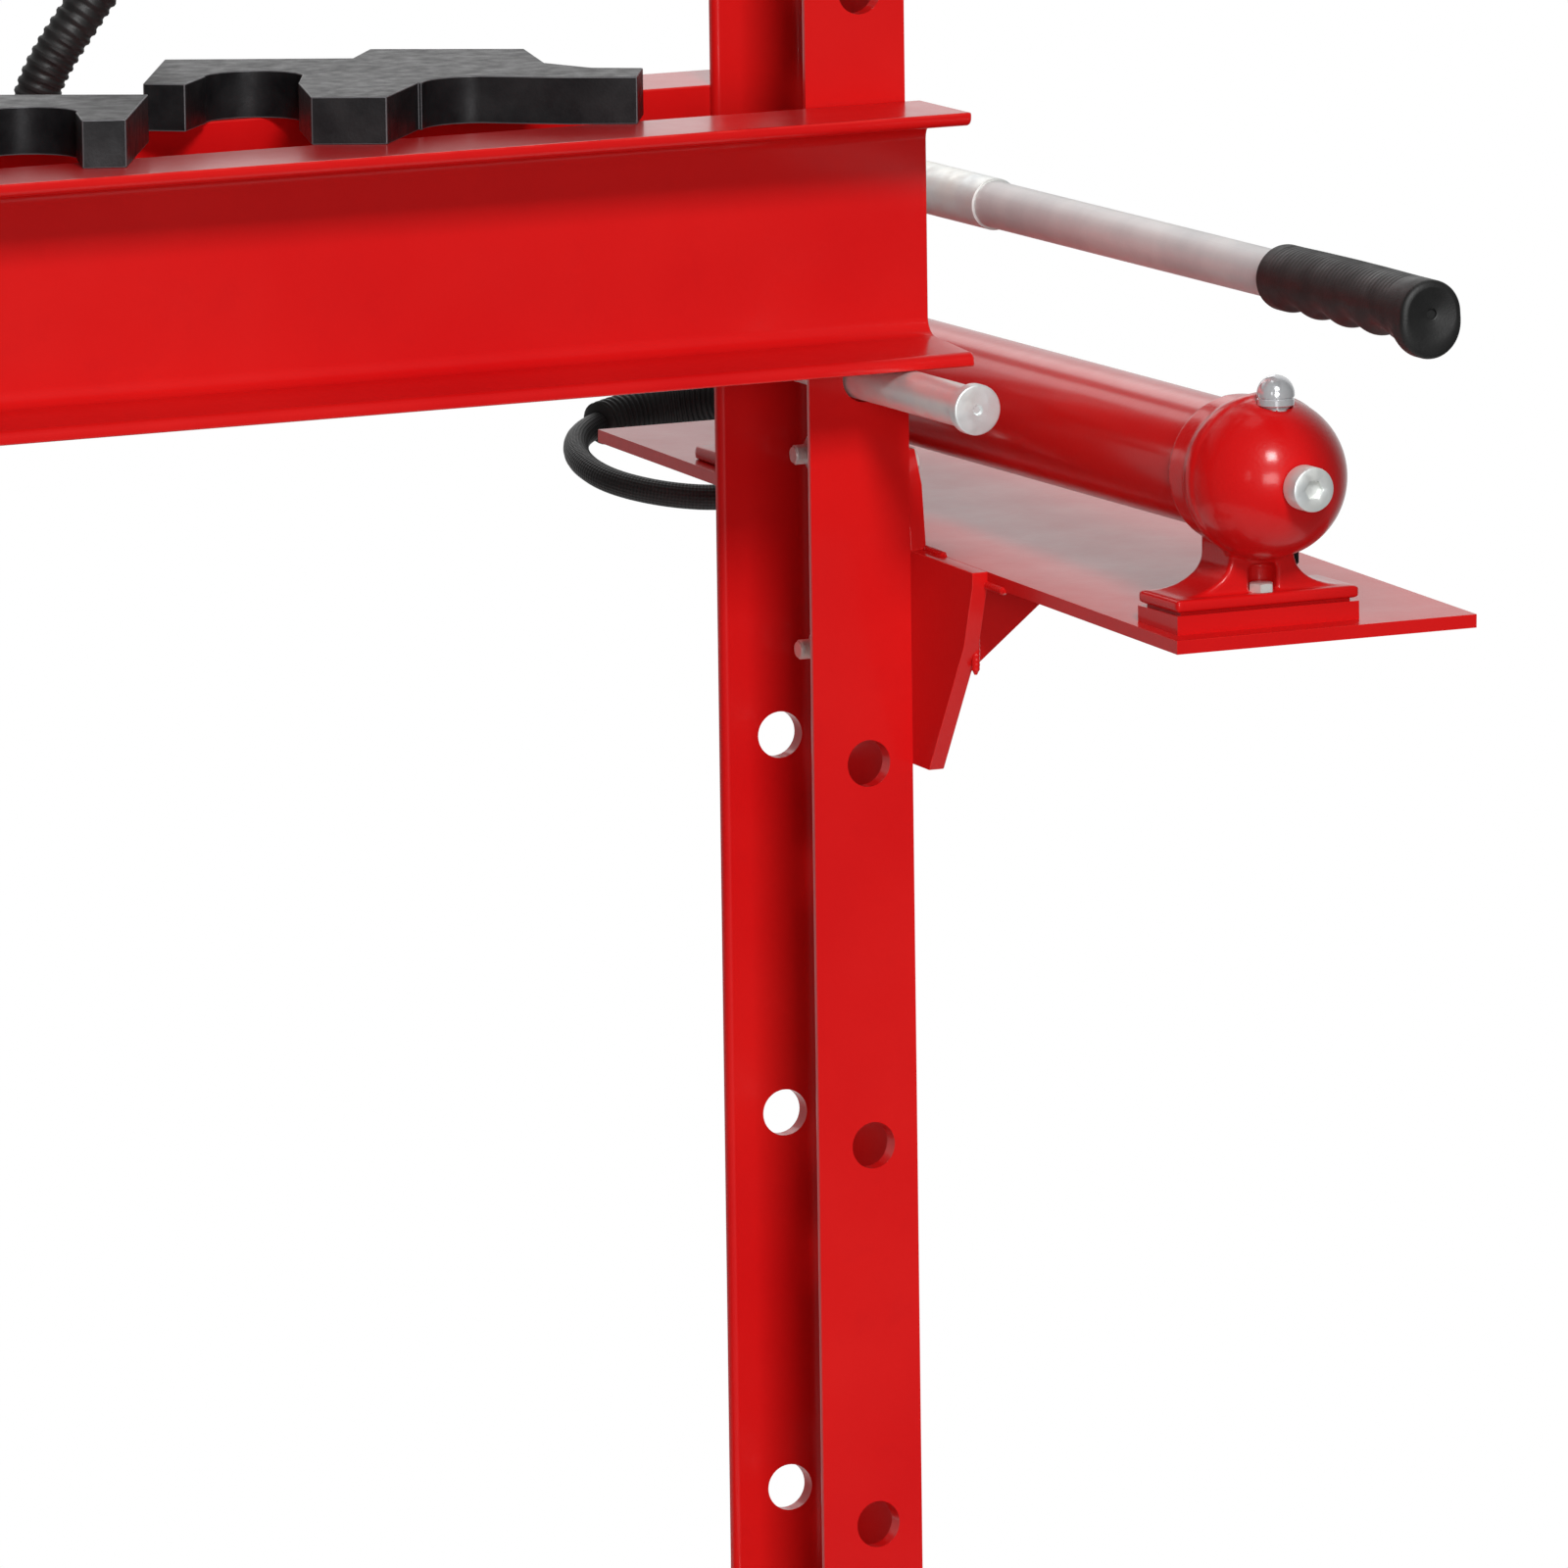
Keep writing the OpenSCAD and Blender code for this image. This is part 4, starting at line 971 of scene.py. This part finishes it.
def gauge_marks():
    low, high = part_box("gauge_dial")
    centre = Vector((0, low.y, (low.z + high.z) / 2))
    radius = (high.x - low.x) / 2
    marks, red_marks = [], []
    for value in range(DIAL_STEPS + 1):
        outward = dial_way(value)
        size = SHORT_TICK if value % TICKS_PER_LONG else LONG_TICK
        middle = centre + outward * (radius * TICKS_OUT_TO - size[0] / 2) - Y * TICK_THICKNESS / 2
        solid = flat_bar(middle, outward, size)
        (red_marks if value >= DIAL_RED_FROM else marks).append(solid)
    for name, solids, look in (("gauge_ticks", marks, LOOKS["needle_black"]),
                               ("gauge_red_ticks", red_marks, DIAL_RED)):
        piece = new_piece(name, *joined(solids), smooth=False)
        finish_piece(piece, "gauge_dial", look, replaced=False)
    for value in range(0, DIAL_STEPS + 1, NUMBER_EVERY):
        number(str(value), centre + radius * NUMBERS_AT * dial_way(value))


def flat_bar(middle, outward, size):
    """A tick: size is its length along outward and its width"""
    across = Vector((-outward.z, 0, outward.x))
    corners = [middle + outward * a * size[0] / 2 + across * b * size[1] / 2 + Y * c * TICK_THICKNESS / 2
               for a in (-1, 1) for b in (-1, 1) for c in (-1, 1)]
    return corners, [(0, 1, 3, 2), (4, 6, 7, 5), (0, 4, 5, 1), (2, 3, 7, 6), (0, 2, 6, 4), (1, 5, 7, 3)]


def number(words, place):
    """A plain number that lies on the dial and faces the front"""
    name = "dial_number_" + words
    curve = bpy.data.curves.new(name, "FONT")
    curve.body = words
    curve.size = NUMBER_SIZE
    curve.extrude = NUMBER_HALF_THICKNESS
    curve.align_x = "CENTER"
    curve.align_y = "CENTER"
    written = bpy.data.objects.new(name, curve)
    bpy.context.scene.collection.objects.link(written)
    depsgraph = bpy.context.evaluated_depsgraph_get()
    mesh = bpy.data.meshes.new_from_object(written.evaluated_get(depsgraph))
    bpy.data.objects.remove(written)
    forward = Matrix.Translation(place - Y * 0.0002)
    mesh.transform(forward @ Matrix.Rotation(math.pi / 2, 4, "X"))
    piece = bpy.data.objects.new(name, mesh)
    bpy.context.scene.collection.objects.link(piece)
    finish_piece(piece, "gauge_dial", LOOKS["needle_black"], replaced=False)


# --- Welds: rippled beads in the corners ---
RIPPLE = 0.0028
RIPPLE_STEPS = 3
BEAD_SIDES = 10
# Shares of a bead's radius: what is left at its ends, and what it loses over each ripple
BEAD_END = 0.35
BEAD_FALL = 0.16
# How far beads stop short of corners
CORNER_GAP = 0.004
FLANGE_GAP = 0.003
GUSSET_GAP = 0.002
FOOT_GAP = 0.006
FOOT_BEAD = 0.0042
BRACKET_BEAD = 0.0026
BED_BEAD = 0.0036
# The shelf's slope in degrees and its thickness, as in the CAD model
SHELF_FALL = 1.8
SHELF_THICKNESS = 0.008
# Half lengths of the beads under and over the shelf, and the depth of those down the ribs
UNDER_SHELF_HALF = 0.143
OVER_SHELF_HALF = 0.064
RIB_BEAD = 0.056
# Where the sides of the bracket's two ribs are along the shelf
RIB_SIDES = (-0.104, -0.096, 0.096, 0.104)


def weld(name, body, lines, radius):
    """Beads along lines, each a pair of ends"""
    solids = []
    for start, end in lines:
        count = max(4, int((end - start).length / (RIPPLE / RIPPLE_STEPS)))
        path = [start.lerp(end, i / count) for i in range(count + 1)]
        radii = []
        for i in range(count + 1):
            step = i % RIPPLE_STEPS / RIPPLE_STEPS
            ends = min(1.0, BEAD_END + min(i, count - i) / 5)
            radii.append(radius * ends * (1 - BEAD_FALL * step))
        solids.append((tube_points(path, radii, BEAD_SIDES), ring_faces(count + 1, BEAD_SIDES)))
    piece = new_piece(name, *joined(solids))
    piece.data.materials.append(LOOKS["red_paint"])
    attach(piece, body)


def foot_welds(side, name):
    """Upright on foot and gussets on both; the right side's places are mirrored where side is -1"""
    upright_low, upright_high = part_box("right_upright")
    gusset_low, gusset_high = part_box("right_foot_gussets")
    foot_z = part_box("right_foot")[1].z
    front, back, floor_z = upright_low.y, upright_high.y, upright_low.z

    def at(x, y, z):
        return Vector((side * x, y, z))

    lines = [(at(upright_high.x, front + CORNER_GAP, foot_z), at(upright_high.x, back - CORNER_GAP, foot_z))]
    for y in (front, back):
        lines.append((at(upright_low.x + FLANGE_GAP, y, floor_z), at(gusset_low.x - GUSSET_GAP, y, floor_z)))
    for reach, near in ((gusset_low.y, front), (gusset_high.y, back)):
        lines.append((at(gusset_low.x, near, floor_z), at(gusset_low.x, reach, floor_z)))
        lines.append((at(gusset_low.x, near, floor_z + FOOT_GAP),
                      at(gusset_low.x, near, gusset_high.z - GUSSET_GAP)))
    weld(name, "frame", lines, FOOT_BEAD)


def bracket_welds():
    """Shelf on its bracket's plate, and the plate's ribs on both, in the sloping shelf's frame"""
    bracket_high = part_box("shelf_bracket")[1]
    shelf_low, shelf_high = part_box("pump_shelf")
    inner, fall = shelf_low.x, math.radians(SHELF_FALL)
    along = Vector((0, math.cos(fall), math.sin(fall)))
    up = Vector((0, -math.sin(fall), math.cos(fall)))
    over = Vector((inner, 0, 0)) + up * (shelf_high.z * math.cos(fall) - shelf_high.y * math.sin(fall))
    under = over - up * SHELF_THICKNESS
    lines = [(under + along * -UNDER_SHELF_HALF, under + along * UNDER_SHELF_HALF),
             (over + along * -OVER_SHELF_HALF, over + along * OVER_SHELF_HALF)]
    for y in RIB_SIDES:
        corner = under + along * y
        lines.append((corner - up * RIB_BEAD, corner))
        lines.append((corner, corner + X * (bracket_high.x - inner - CORNER_GAP)))
    weld("bracket_welds", "frame", lines, BRACKET_BEAD)


def bed_welds():
    """Four upright beads at the corners of each bed spacer"""
    low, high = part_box("bed_spacer_right")
    lines = [(Vector((side * x, y, low.z)), Vector((side * x, y, high.z)))
             for side in (-1, 1) for x in (low.x, high.x) for y in (low.y, high.y)]
    weld("bed_welds", "bed", lines, BED_BEAD)


# --- Everything in place ---
make_hose()
make_world()
make_lights()
make_floor()

for width, names in SOFTENED.items():
    for node in names:
        softened(node, width)
casting("pump_end_cap", 0.0013, 8)
casting("pump_head", 0.0016, 6)
fasteners("tie_bolts", 0.006, front_or_back, grip=0.016)
fasteners("head_bolts", 0.010, front_or_back)
fasteners("head_nuts", 0.010, front_or_back, loose_nut=True)
fasteners("seat_plate_bolts", 0.008, lambda centre: -Z, grip=0.037)
fasteners("bracket_bolts", 0.006, lambda centre: X, grip=0.017)
fasteners("pump_foot_bolts", 0.004, lambda centre: Z)
bed_pin("bed_pin_left")
bed_pin("bed_pin_right")
filler_plug()
end_plug()
hose_fitting("hose_end_cylinder")
hose_fitting("hose_end_pump")
lever_grip()
gauge_marks()
foot_welds(1, "right_foot_welds")
foot_welds(-1, "left_foot_welds")
bracket_welds()
bed_welds()
